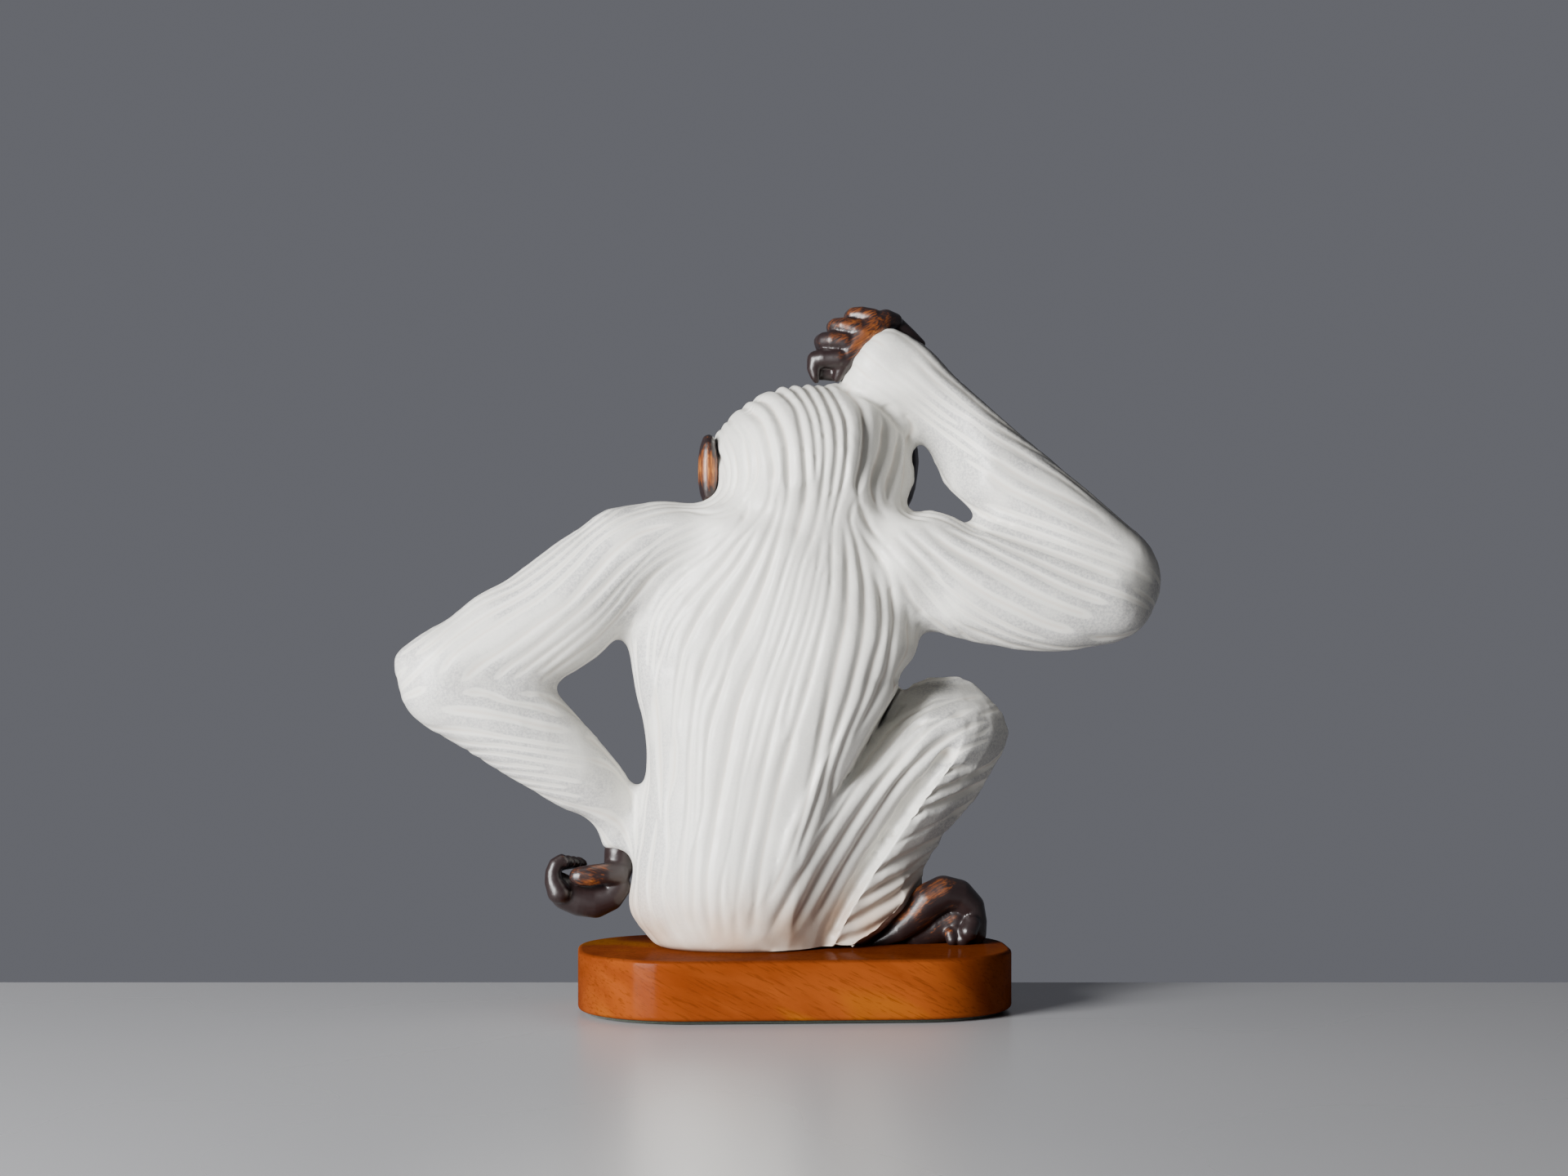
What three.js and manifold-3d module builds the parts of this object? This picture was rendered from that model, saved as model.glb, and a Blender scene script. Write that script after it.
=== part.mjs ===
// Seated ape figure in glazed stoneware, fixed on a lacquered wooden plinth.
// Millimetres, +Z up. The ape faces +Y and its right side is at +X.
// The origin is the middle of the underside.
import * as THREE from "three";
import { mergeVertices } from "three/addons/utils/BufferGeometryUtils.js";
import Module from "manifold-3d";

const wasm = await Module();
wasm.setup();

// Gap left at every joint between two pieces.
const CLEARANCE = 0.3;

// Plinth and felt.
const PLINTH = { length: 162, depth: 95, thickness: 22, corner: 40, round: 1.5 };
const FELT = { thickness: 1, inset: 3 };

// Wall of the hollow torso, and the fixing from below.
const WALL = 7;
const PLUG = { radius: 15, height: 27, chamfer: 1 };
const SCREW = { shank: 2, head: 4.2, headHeight: 2.6, point: 4, bite: 17 };
const WASHER = { radius: 6, thickness: 1 };
const COUNTERBORE = 7;

// Furrows of the coat.
const FURROW = { body: 1.1, head: 0.9, limb: 0.9 };
const TORSO_FURROWS = 31;
const HEAD_FURROWS = 11;
const LIMB_FURROWS = 8;

// Cross-sections from the seat up: x, y, z of the middle, half width, half depth.
const TORSO = [
  [-18, 4, -12, 31, 24],
  [-18, 4, 0, 34, 27],
  [-20, 3, 20, 38.5, 32],
  [-20, 1, 45, 39, 35],
  [-16, -1, 68, 39.5, 36],
  [-11.5, -2, 93, 48, 36],
  [-6.5, -1, 117, 54.5, 34],
  [-3, 2, 140, 51, 30],
  [4, 6, 157, 38, 26],
  [7, 9, 172, 30, 24],
  [8, 11, 190, 24, 20],
];

// Head: place of its middle, turn to the ape's left, and sections along the line from ear to ear.
const HEAD_MIDDLE = [8.6, 13, 179.5];
const HEAD_TURN = 20;
const HEAD = [
  [-38, 21, 23],
  [-24, 30, 33],
  [0, 33, 37],
  [24, 30, 33],
  [37, 21, 23],
];
const EAR = { out: 40, forward: 8, drop: 1.5, high: 13, half: 9, thick: 4.2, bowl: 2.2 };
const FACE = { out: 22, drop: 4, wide: 26, high: 28, deep: 18 };
const MUZZLE = { out: 33, drop: 14, wide: 17, high: 12.5, deep: 14 };
const BROW = { out: 36, rise: 8, half: 18, girth: 4.6 };
const EYE = { out: 40, apart: 9, rise: 1.5, socket: 5.5, ball: 4 };
const MOUTH = { out: 43, drop: 17, half: 14, girth: 0.9 };

// Arms, from inside the shoulder to the elbow and from the elbow to the wrist.
const LEFT_UPPER_ARM = [
  [-20, 2, 145, 20, 20],
  [-54, 1, 148.5, 22, 21],
  [-74, -1, 136, 21.5, 19.5],
  [-94, -3, 121, 21.5, 18.5],
  [-117, -5, 108, 19, 17],
  [-149, -6, 103, 13, 13],
];
const LEFT_FOREARM = [
  [-147, -6, 102, 14, 13],
  [-123, -6, 95, 17.5, 16],
  [-104, -4, 84, 18.5, 15.5],
  [-89, -1, 72, 16, 14],
  [-69.5, 6, 54, 12.5, 11],
  [-63, 12, 37, 9, 9],
];
const RIGHT_UPPER_ARM = [
  [24, 2, 146, 22, 20],
  [52, 1, 142, 23, 21],
  [80, -3, 134, 22, 20],
  [104, -5, 131, 20.5, 18],
  [137, -5, 134, 15, 14],
];
// The raised forearm is measured from the middle of the head.
const RIGHT_FOREARM = [
  [129, -17, -50, 14, 13],
  [107, -16, -36, 18.5, 16],
  [93, -14, -23, 18, 15.5],
  [71, -11, -4, 17.5, 14.5],
  [41, -6, 26, 15.5, 12.5],
  [18, -3, 46, 14.5, 11],
];

// Legs, from hip to knee and from knee to ankle.
const RIGHT_THIGH = [
  [6, 12, 14, 17, 18],
  [24, 8, 42, 16.5, 17],
  [38, 4, 66, 16.5, 16.5],
  [54, 3, 82, 17.5, 17],
  [68, 4, 95, 15, 15],
];
const RIGHT_SHIN = [
  [71, 5, 91, 14, 13],
  [63, 6, 74, 16, 15],
  [52, 7, 54, 15.5, 15],
  [41, 8, 35, 15, 14.5],
  [30, 9, 13, 14, 13.5],
  [23, 9, -4, 13, 12],
];
const LEFT_THIGH = [
  [-24, 4, 24, 17, 16],
  [-32, 20, 22, 16.5, 15],
  [-37, 37, 17, 13, 13.5],
];
const LEFT_SHIN = [
  [-46, 35, 15, 12, 12],
  [-32, 36, 15, 13.5, 13.5],
  [-12, 37, 13.5, 12.5, 12],
  [8, 38, 11, 10.5, 10],
];

// Hands and feet: reach from wrist or ankle to the row of knuckles, curl of the digits.
const RIGHT_HAND = {
  reach: 4, rise: 0, slide: 4, pitch: 7.7, girth: 4.8, curl: 5.7, squash: 1, sweep: 200, palm: 5.8, core: 1,
};
const LEFT_HAND = {
  reach: 11, rise: 0, slide: 0, pitch: 6, girth: 6.2, curl: 11.8,
  squash: 0.75, sweep: 215, palm: 5.5, core: 0.85,
};
const RIGHT_FOOT = {
  reach: 24, rise: 4, slide: 0, pitch: 6.2, girth: 5.2, curl: 6.8, squash: 1, sweep: 175, palm: 9.5, core: 1,
};
const LEFT_FOOT = {
  reach: 15, rise: 0, slide: 0, pitch: 4.6, girth: 3.7, curl: 5.5, squash: 1, sweep: 170, palm: 6, core: 1,
};
// Thumbs measured from the wrist, big toes from the ankle: x, y, z, half width, half depth.
const RIGHT_THUMB = [
  [-3, 9, 7, 4.5, 4.5],
  [6, 11.5, 8.5, 4.2, 4.2],
  [17, 11, 4, 3.6, 3.6],
];
const LEFT_THUMB = [
  [-1, -9, -5, 4, 4],
  [-11, -12, -8, 4.2, 4.2],
  [-20, -12, -10, 3.6, 3.6],
];
const RIGHT_ANKLE = [36, 6, 14];
const RIGHT_TOE = [
  [0, -7, -4, 5, 5],
  [8, -9, -6, 4.5, 4.5],
  [18, -10, -9, 4, 4],
];
const LEFT_TOE = [
  [6, -5, -3, 3.4, 3.4],
  [12, -8, -5, 3.4, 3.4],
  [18, -9, -7, 3, 3],
];
const DIGITS = 4;
const LONGEST = 1.2;
const TAPER = 0.05;

// Share of a forearm or shin that rounds off into the wrist or ankle.
const WRIST = 0.03;

// Breadth of a palm at its heel, wrist, knuckles and front, as shares of the row of digits.
const SPREAD = [0.75, 0.9, 1.02, 0.95];

const DEGREE = Math.PI / 180;
const UP = new THREE.Vector3(0, 0, 1);
const REAR = new THREE.Vector3(0, -1, 0);

const vec = (x, y, z) => new THREE.Vector3(x, y, z);
const row = (p, wide, deep) => [p.x, p.y, p.z, wide, deep];
const from = (start, rows) => rows.map(([x, y, z, wide, deep]) => row(vec(x, y, z).add(start), wide, deep));

// Closed solid from a three.js geometry.
function solid(geometry) {
  const bare = geometry.clone();
  bare.deleteAttribute("normal");
  bare.deleteAttribute("uv");
  const merged = mergeVertices(bare, 1e-4);
  const vertProperties = new Float32Array(merged.getAttribute("position").array);
  const triVerts = new Uint32Array(merged.index.array);
  const kept = [];
  for (let i = 0; i < triVerts.length; i += 3) {
    const [a, b, c] = [triVerts[i], triVerts[i + 1], triVerts[i + 2]];
    if (a !== b && b !== c && c !== a) {
      kept.push(a, b, c);
    }
  }
  return new wasm.Manifold(new wasm.Mesh({ numProp: 3, vertProperties, triVerts: new Uint32Array(kept) }));
}

// Named mesh of one piece.
function piece(name, body, material) {
  const mesh = body.getMesh();
  const geometry = new THREE.BufferGeometry();
  geometry.setAttribute("position", new THREE.BufferAttribute(new Float32Array(mesh.vertProperties), 3));
  geometry.setIndex(new THREE.BufferAttribute(new Uint32Array(mesh.triVerts), 1));
  geometry.computeVertexNormals();
  const result = new THREE.Mesh(geometry, material);
  result.name = name;
  return result;
}

// Draws a sphere out along a spine, so that its rings become the cross-sections of a limb.
// Furrows run along the limb, hoops run round it. Grow widens the limb to a cutting tool.
function limb(shape, grow = 0) {
  const { sections, sides, steps, dome, tail = dome, caps = 3 } = shape;
  const { furrows = 0, hoops = 0, depth = 0, rear = REAR } = shape;
  const spine = new THREE.CatmullRomCurve3(sections.map(([x, y, z]) => vec(x, y, z)));
  const girth = new THREE.CatmullRomCurve3(sections.map(([, , , wide, deep]) => vec(wide, deep, 0)));
  const ball = new THREE.SphereGeometry(1, sides, steps);
  const place = ball.getAttribute("position");
  const uv = ball.getAttribute("uv");
  for (let i = 0; i < place.count; i++) {
    const turn = Math.round(uv.getX(i) * sides) / sides * 2 * Math.PI;
    const row = Math.round(uv.getY(i) * steps);
    const fromEnd = Math.min(row, steps - row);
    const bend = Math.min(fromEnd / caps, 1) * Math.PI / 2;
    const far = row > steps / 2;
    const cap = (far ? tail : dome) * (1 - Math.cos(bend));
    const middle = dome + (1 - dome - tail) * (row - caps) / (steps - 2 * caps);
    const t = fromEnd < caps ? (far ? 1 - cap : cap) : middle;
    const along = spine.getTangent(t);
    const back = rear.clone().addScaledVector(along, -rear.dot(along)).normalize();
    const across = along.clone().cross(back);
    const { x: wide, y: deep } = girth.getPoint(t);
    const ring = across.multiplyScalar(-Math.cos(turn) * wide).addScaledVector(back, Math.sin(turn) * deep);
    const phase = furrows ? furrows * turn : 2 * Math.PI * hoops * t;
    const cut = depth * (0.5 - 0.5 * Math.cos(phase));
    const swell = Math.sin(bend);
    ring.setLength((ring.length() - cut + grow) * swell);
    const end = grow * Math.cos(bend) * (far ? 1 : -1);
    const point = spine.getPoint(t).add(ring).addScaledVector(along, end);
    place.setXYZ(i, point.x, point.y, point.z);
  }
  return solid(ball);
}

// Ellipsoid with its three half-axes along the given directions.
function lump(middle, axes, sides = 14, steps = 8) {
  const ball = new THREE.SphereGeometry(1, sides, steps);
  const frame = new THREE.Matrix4().makeBasis(...axes).setPosition(middle);
  return solid(ball.applyMatrix4(frame));
}

// Round bar with its profile turned about Z, from pairs of radius and height.
function turned(profile, sides = 16) {
  const points = profile.map(([radius, height]) => new THREE.Vector2(radius, height));
  return solid(new THREE.LatheGeometry(points, sides).rotateX(Math.PI / 2));
}

// Outline of the plinth with round corners, drawn in by an inset.
function outline(inset) {
  const half = PLINTH.length / 2 - inset;
  const side = PLINTH.depth / 2 - inset;
  const corner = PLINTH.corner - inset;
  const shape = new THREE.Shape();
  shape.absarc(half - corner, side - corner, corner, 0, Math.PI / 2);
  shape.absarc(corner - half, side - corner, corner, Math.PI / 2, Math.PI);
  shape.absarc(corner - half, corner - side, corner, Math.PI, 1.5 * Math.PI);
  shape.absarc(half - corner, corner - side, corner, 1.5 * Math.PI, 2 * Math.PI);
  return shape;
}

// Four curled digits and the palm or sole that carries them.
function extremity(form, start, along, inward, thumb, grow) {
  const { reach, rise, slide, pitch, girth, curl, squash, sweep, palm, core } = form;
  const across = along.clone().cross(inward);
  const root = start.clone().addScaledVector(across, slide);
  const knuckles = root.clone().addScaledVector(along, reach).addScaledVector(inward, -rise);
  const half = pitch * DIGITS / 2;
  const heel = root.clone().addScaledVector(along, -reach / 3);
  const front = knuckles.clone().addScaledVector(along, curl * 0.7);
  const flat = [heel, root, knuckles, front].map((p, i) => row(p, half * SPREAD[i], palm * SPREAD[i]));
  let body = limb({ sections: flat, sides: 12, steps: 7, caps: 2, dome: 0.2, rear: inward }, grow);
  const inside = knuckles.clone().addScaledVector(inward, curl);
  const thickness = curl * core;
  const bar = [-1, 0, 1].map((k) => (
    row(inside.clone().addScaledVector(across, half * k), thickness, thickness)
  ));
  body = body.add(limb({ sections: bar, sides: 6, steps: 5, caps: 2, dome: 0.1, rear: along }, grow));
  for (let digit = 0; digit < DIGITS; digit++) {
    const offset = pitch * (digit - (DIGITS - 1) / 2);
    const thick = girth * (1 - TAPER * Math.abs(digit - LONGEST));
    const sections = [];
    for (let joint = 0; joint <= 5; joint++) {
      const angle = sweep * DEGREE * joint / 5;
      const p = knuckles.clone().addScaledVector(across, offset);
      p.addScaledVector(along, curl * squash * Math.sin(angle));
      p.addScaledVector(inward, curl * (1 - Math.cos(angle)));
      sections.push(row(p, thick, thick));
    }
    body = body.add(limb({ sections, sides: 6, steps: 8, caps: 2, dome: 0.12, rear: across }, grow));
  }
  return body.add(limb({ sections: thumb, sides: 6, steps: 6, caps: 2, dome: 0.2, rear: inward }, grow));
}

// Space under the plinth's top, which every piece of the figure is trimmed to.
function below(height) {
  const room = 400;
  return solid(new THREE.BoxGeometry(room, room, room).translate(0, 0, height - room / 2));
}

const white = new THREE.MeshStandardMaterial({ color: 0xe6e4de, roughness: 0.55, metalness: 0 });
const brown = new THREE.MeshStandardMaterial({ color: 0x4a2a22, roughness: 0.25, metalness: 0 });
const wood = new THREE.MeshStandardMaterial({ color: 0xa8602c, roughness: 0.35, metalness: 0 });
const baize = new THREE.MeshStandardMaterial({ color: 0x3c4236, roughness: 0.95, metalness: 0 });
const steel = new THREE.MeshStandardMaterial({ color: 0xb8b4a8, roughness: 0.35, metalness: 1 });

// Shapes of the coat-covered pieces.
const torsoShape = {
  sections: TORSO, sides: TORSO_FURROWS * 3, steps: 14, dome: 0.06, furrows: TORSO_FURROWS,
};
const coat = { sides: LIMB_FURROWS * 3, steps: 11, dome: 0.12, furrows: LIMB_FURROWS, depth: FURROW.limb };
const torso = (grow) => limb({ ...torsoShape, depth: FURROW.body }, grow);
const bent = (upper, lower) => (grow) => (
  limb({ ...coat, sections: upper }, grow).add(limb({ ...coat, sections: lower, tail: WRIST }, grow))
);

// Head frame: middle, line from left ear to right ear, and the way the face looks.
const headMiddle = vec(...HEAD_MIDDLE);
const earLine = vec(Math.cos(HEAD_TURN * DEGREE), Math.sin(HEAD_TURN * DEGREE), 0);
const ahead = vec(-earLine.y, earLine.x, 0);
const fromHead = (right, forward, rise) => headMiddle.clone()
  .addScaledVector(earLine, right).addScaledVector(ahead, forward).addScaledVector(UP, rise);

const headSections = HEAD.map(([right, high, deep]) => row(fromHead(right, 0, 0), high, deep));
const headShape = {
  sections: headSections, sides: 18, steps: HEAD_FURROWS * 3, dome: 0.12, hoops: HEAD_FURROWS,
};
const head = (grow) => limb({ ...headShape, depth: FURROW.head }, grow);

const leftArm = bent(LEFT_UPPER_ARM, LEFT_FOREARM);
const raised = from(headMiddle, RIGHT_FOREARM);
const rightArm = bent(RIGHT_UPPER_ARM, raised);
const leftLeg = bent(LEFT_THIGH, LEFT_SHIN);
const rightLeg = bent(RIGHT_THIGH, RIGHT_SHIN);

// Hands: the end of each forearm gives the wrist and the way the hand points.
const endOf = (sections) => vec(...sections.at(-1).slice(0, 3));
const leftWrist = endOf(LEFT_FOREARM);
const rightWrist = endOf(raised);
const leftThumb = from(leftWrist, LEFT_THUMB);
const leftHand = (grow) => extremity(LEFT_HAND, leftWrist, vec(0, 0, -1), vec(-1, 0, 0), leftThumb, grow);
const raisedWay = rightWrist.clone().sub(vec(...raised.at(-2).slice(0, 3))).setY(0).normalize();
const rightThumb = from(rightWrist, RIGHT_THUMB);
const rightHand = (grow) => extremity(RIGHT_HAND, rightWrist, raisedWay, vec(0, 1, 0), rightThumb, grow);

// Feet: they start at the ankle and curl down to the plinth.
const rightAnkle = vec(...RIGHT_ANKLE);
const rightToe = from(rightAnkle, RIGHT_TOE);
const rightFoot = (grow) => (
  extremity(RIGHT_FOOT, rightAnkle, vec(0.95, 0.3, 0).normalize(), vec(0, 0, -1), rightToe, grow)
);
const leftAnkle = endOf(LEFT_SHIN);
const leftToe = from(leftAnkle, LEFT_TOE);
const leftFoot = (grow) => extremity(LEFT_FOOT, leftAnkle, vec(1, 0, 0), vec(0, 0, -1), leftToe, grow);

// Torso: hollow inside its wall, with a round hole in the foot for the plug.
const seat = below(CLEARANCE);
const plugPlace = TORSO[1].slice(0, 2);
const plugHole = turned(
  [[0, -1], [PLUG.radius + CLEARANCE, -1], [PLUG.radius + CLEARANCE, WALL + 1], [0, WALL + 1]],
).translate([...plugPlace, 0]);
const hollow = limb({ ...torsoShape, sides: 16, steps: 10, furrows: 0 }, -WALL).subtract(below(WALL));
const torsoBody = torso(0).subtract(seat).subtract(hollow).subtract(plugHole);

// Each piece is cut by the ones it is luted on to.
const torsoTool = limb({ ...torsoShape, sides: 40, furrows: 0 }, CLEARANCE * 1.7);
const headTool = limb({ ...headShape, steps: 12, hoops: 0 }, CLEARANCE * 1.5);
const headBody = head(0).subtract(torsoTool);
const leftArmBody = leftArm(0).subtract(torsoTool).subtract(headTool);
const rightArmBody = rightArm(0).subtract(torsoTool).subtract(headTool);
const rightLegBody = rightLeg(0).subtract(torsoTool).subtract(seat);
const leftLegBody = leftLeg(0).subtract(torsoTool).subtract(seat).subtract(rightLeg(CLEARANCE));
const leftHandBody = leftHand(0).subtract(leftArm(CLEARANCE)).subtract(torsoTool);
const rightHandBody = rightHand(0).subtract(rightArm(CLEARANCE)).subtract(headTool);
const rightFootBody = rightFoot(0).subtract(rightLeg(CLEARANCE)).subtract(seat).subtract(torsoTool);
const leftFootBody = leftFoot(0).subtract(leftLeg(CLEARANCE)).subtract(seat).subtract(torsoTool)
  .subtract(rightLeg(CLEARANCE)).subtract(rightFoot(CLEARANCE));

// Face: mask, muzzle and brow, with sunk eyes and the line of the mouth.
const axes = (wide, deep, high) => (
  [earLine.clone().multiplyScalar(wide), ahead.clone().multiplyScalar(deep), UP.clone().multiplyScalar(high)]
);
const sides = [-1, 1];
let faceBody = lump(fromHead(0, FACE.out, -FACE.drop), axes(FACE.wide, FACE.deep, FACE.high), 18, 9)
  .add(lump(fromHead(0, MUZZLE.out, -MUZZLE.drop), axes(MUZZLE.wide, MUZZLE.deep, MUZZLE.high)));
const browLine = [-1, -0.5, 0, 0.5, 1].map((k) => (
  row(fromHead(BROW.half * k, BROW.out - 4 * k * k, BROW.rise - 3 * k * k), BROW.girth, BROW.girth)
));
faceBody = faceBody.add(limb({ sections: browLine, sides: 8, steps: 9, caps: 2, dome: 0.12 }));
for (const side of sides) {
  const eye = fromHead(EYE.apart * side, EYE.out, EYE.rise);
  faceBody = faceBody.subtract(lump(eye, axes(EYE.socket, EYE.socket, EYE.socket), 10, 6));
}
for (const side of sides) {
  const eye = fromHead(EYE.apart * side, EYE.out - EYE.socket, EYE.rise);
  faceBody = faceBody.add(lump(eye, axes(EYE.ball, EYE.ball, EYE.ball), 10, 6));
}
const mouthLine = [-1, -0.5, 0, 0.5, 1].map((k) => (
  row(
    fromHead(MOUTH.half * k, MOUTH.out + 4 - 12 * k * k, -MOUTH.drop + 3 * k * k),
    MOUTH.girth,
    MOUTH.girth,
  )
));
const mouth = limb({ sections: mouthLine, sides: 5, steps: 9, caps: 2, dome: 0.05, rear: UP });
faceBody = faceBody.subtract(mouth).subtract(headTool).subtract(torsoTool);

// Ears: upright lobes with a shallow bowl on the outer side.
function ear(side) {
  const rows = [-1, -0.5, 0, 0.5, 1].map((k) => (
    row(fromHead(EAR.out * side, EAR.forward, EAR.high * k - EAR.drop), EAR.thick, EAR.half)
  ));
  const lobe = limb({ sections: rows, sides: 12, steps: 8, dome: 0.28, rear: ahead });
  const bowl = lump(
    fromHead((EAR.out + EAR.thick) * side, EAR.forward + EAR.half * 0.2, -EAR.drop),
    axes(EAR.bowl, EAR.half * 0.6, EAR.high * 0.6),
    10,
    6,
  );
  return lobe.subtract(bowl).subtract(headTool).subtract(torsoTool);
}

// Base pieces.
const plinthBlank = new THREE.ExtrudeGeometry(outline(PLINTH.round), {
  depth: PLINTH.thickness - 2 * PLINTH.round,
  bevelSize: PLINTH.round,
  bevelThickness: PLINTH.round,
  bevelSegments: 2,
  curveSegments: 5,
}).translate(0, 0, PLINTH.round);
const screwPlaces = sides.map((side) => [plugPlace[0] + side * PLUG.radius / 2, plugPlace[1], 0]);
let plinthBody = solid(plinthBlank);
const bore = SCREW.shank + CLEARANCE;
const counter = WASHER.radius + CLEARANCE;
for (const place of screwPlaces) {
  const hole = turned([
    [0, -1],
    [counter, -1],
    [counter, COUNTERBORE],
    [bore, COUNTERBORE],
    [bore, PLINTH.thickness + 1],
    [0, PLINTH.thickness + 1],
  ]);
  plinthBody = plinthBody.subtract(hole.translate(place));
}
const feltBody = solid(new THREE.ExtrudeGeometry(outline(FELT.inset), {
  depth: FELT.thickness,
  bevelEnabled: false,
  curveSegments: 5,
}));

// Fixings: plug, washers and screws.
let plugBody = turned([
  [0, CLEARANCE],
  [PLUG.radius, CLEARANCE],
  [PLUG.radius, PLUG.height - PLUG.chamfer],
  [PLUG.radius - PLUG.chamfer, PLUG.height],
  [0, PLUG.height],
], 24);
for (const side of sides) {
  const pilot = turned([
    [0, 0],
    [bore, 0],
    [bore, SCREW.bite + CLEARANCE],
    [0, SCREW.bite + SCREW.shank],
  ], 16);
  plugBody = plugBody.subtract(pilot.translate([side * PLUG.radius / 2, 0, 0]));
}
const washerTop = COUNTERBORE - CLEARANCE;
const washerBody = turned([
  [bore, washerTop - WASHER.thickness],
  [WASHER.radius, washerTop - WASHER.thickness],
  [WASHER.radius, washerTop],
  [bore, washerTop],
  [bore, washerTop - WASHER.thickness],
]);
const headTop = washerTop - WASHER.thickness - CLEARANCE;
const screwEnd = PLINTH.thickness + SCREW.bite - CLEARANCE;
const screwBody = turned([
  [0, headTop - SCREW.headHeight],
  [SCREW.head * 0.8, headTop - SCREW.headHeight],
  [SCREW.head, headTop - SCREW.headHeight * 0.5],
  [SCREW.head, headTop],
  [SCREW.shank, headTop],
  [SCREW.shank, screwEnd - SCREW.point],
  [0, screwEnd],
], 16);

const plinth = new THREE.Group();
plinth.position.z = FELT.thickness;
plinth.add(piece("plinth", plinthBody, wood));
for (const [i, name] of ["left", "right"].entries()) {
  const washer = piece(`washer_${name}`, washerBody, steel);
  const screw = piece(`fixing_screw_${name}`, screwBody, steel);
  washer.position.set(...screwPlaces[i]);
  screw.position.set(...screwPlaces[i]);
  plinth.add(washer, screw);
}

const figure = new THREE.Group();
figure.position.z = FELT.thickness + PLINTH.thickness;
const plug = piece("fixing_plug", plugBody, wood);
plug.position.set(...plugPlace, 0);
figure.add(
  plug,
  piece("torso", torsoBody, white),
  piece("head", headBody, white),
  piece("face", faceBody, brown),
  piece("left_ear", ear(-1), brown),
  piece("right_ear", ear(1), brown),
  piece("left_arm", leftArmBody, white),
  piece("left_hand", leftHandBody, brown),
  piece("right_arm", rightArmBody, white),
  piece("right_hand", rightHandBody, brown),
  piece("left_leg", leftLegBody, white),
  piece("left_foot", leftFootBody, brown),
  piece("right_leg", rightLegBody, white),
  piece("right_foot", rightFootBody, brown),
);

const ape = new THREE.Group();
ape.add(piece("felt", feltBody, baize), plinth, figure);
export default ape;
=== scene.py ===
import math

import bmesh
import bpy
import numpy as np
from bpy.props import FloatProperty, FloatVectorProperty, IntProperty, PointerProperty
from mathutils import Matrix, Vector, kdtree, noise
from mathutils.bvhtree import BVHTree


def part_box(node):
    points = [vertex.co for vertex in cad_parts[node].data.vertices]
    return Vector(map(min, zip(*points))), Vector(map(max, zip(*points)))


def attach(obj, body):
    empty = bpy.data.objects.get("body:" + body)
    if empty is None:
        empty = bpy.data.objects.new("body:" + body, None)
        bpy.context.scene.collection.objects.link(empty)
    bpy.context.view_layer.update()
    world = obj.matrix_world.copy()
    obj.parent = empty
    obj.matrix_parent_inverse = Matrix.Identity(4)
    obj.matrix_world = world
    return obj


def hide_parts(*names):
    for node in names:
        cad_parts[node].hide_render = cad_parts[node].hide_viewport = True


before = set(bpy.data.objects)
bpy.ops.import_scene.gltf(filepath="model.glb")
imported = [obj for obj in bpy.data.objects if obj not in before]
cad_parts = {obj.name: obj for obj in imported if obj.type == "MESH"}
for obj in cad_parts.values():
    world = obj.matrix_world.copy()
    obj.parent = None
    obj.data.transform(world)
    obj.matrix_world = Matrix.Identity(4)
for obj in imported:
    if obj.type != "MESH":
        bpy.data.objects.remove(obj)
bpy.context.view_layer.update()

bl_info = {
    "name": "Seated Ape Figure",
    "version": (1, 0, 0),
    "blender": (4, 5, 0),
    "location": "View3D > Sidebar > Ape",
    "description": "Seated ape in furrowed white stoneware with brown hands and feet, on a lacquered plinth",
    "category": "Object",
}

MM = 0.001

# Place and turn of the camera.
EYE = Vector((-0.0787, -1.2260, 0.1577))
YAW = math.radians(-3.5)

WHITE_NODES = ("torso", "head", "left_arm", "right_arm", "left_leg", "right_leg")

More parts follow.
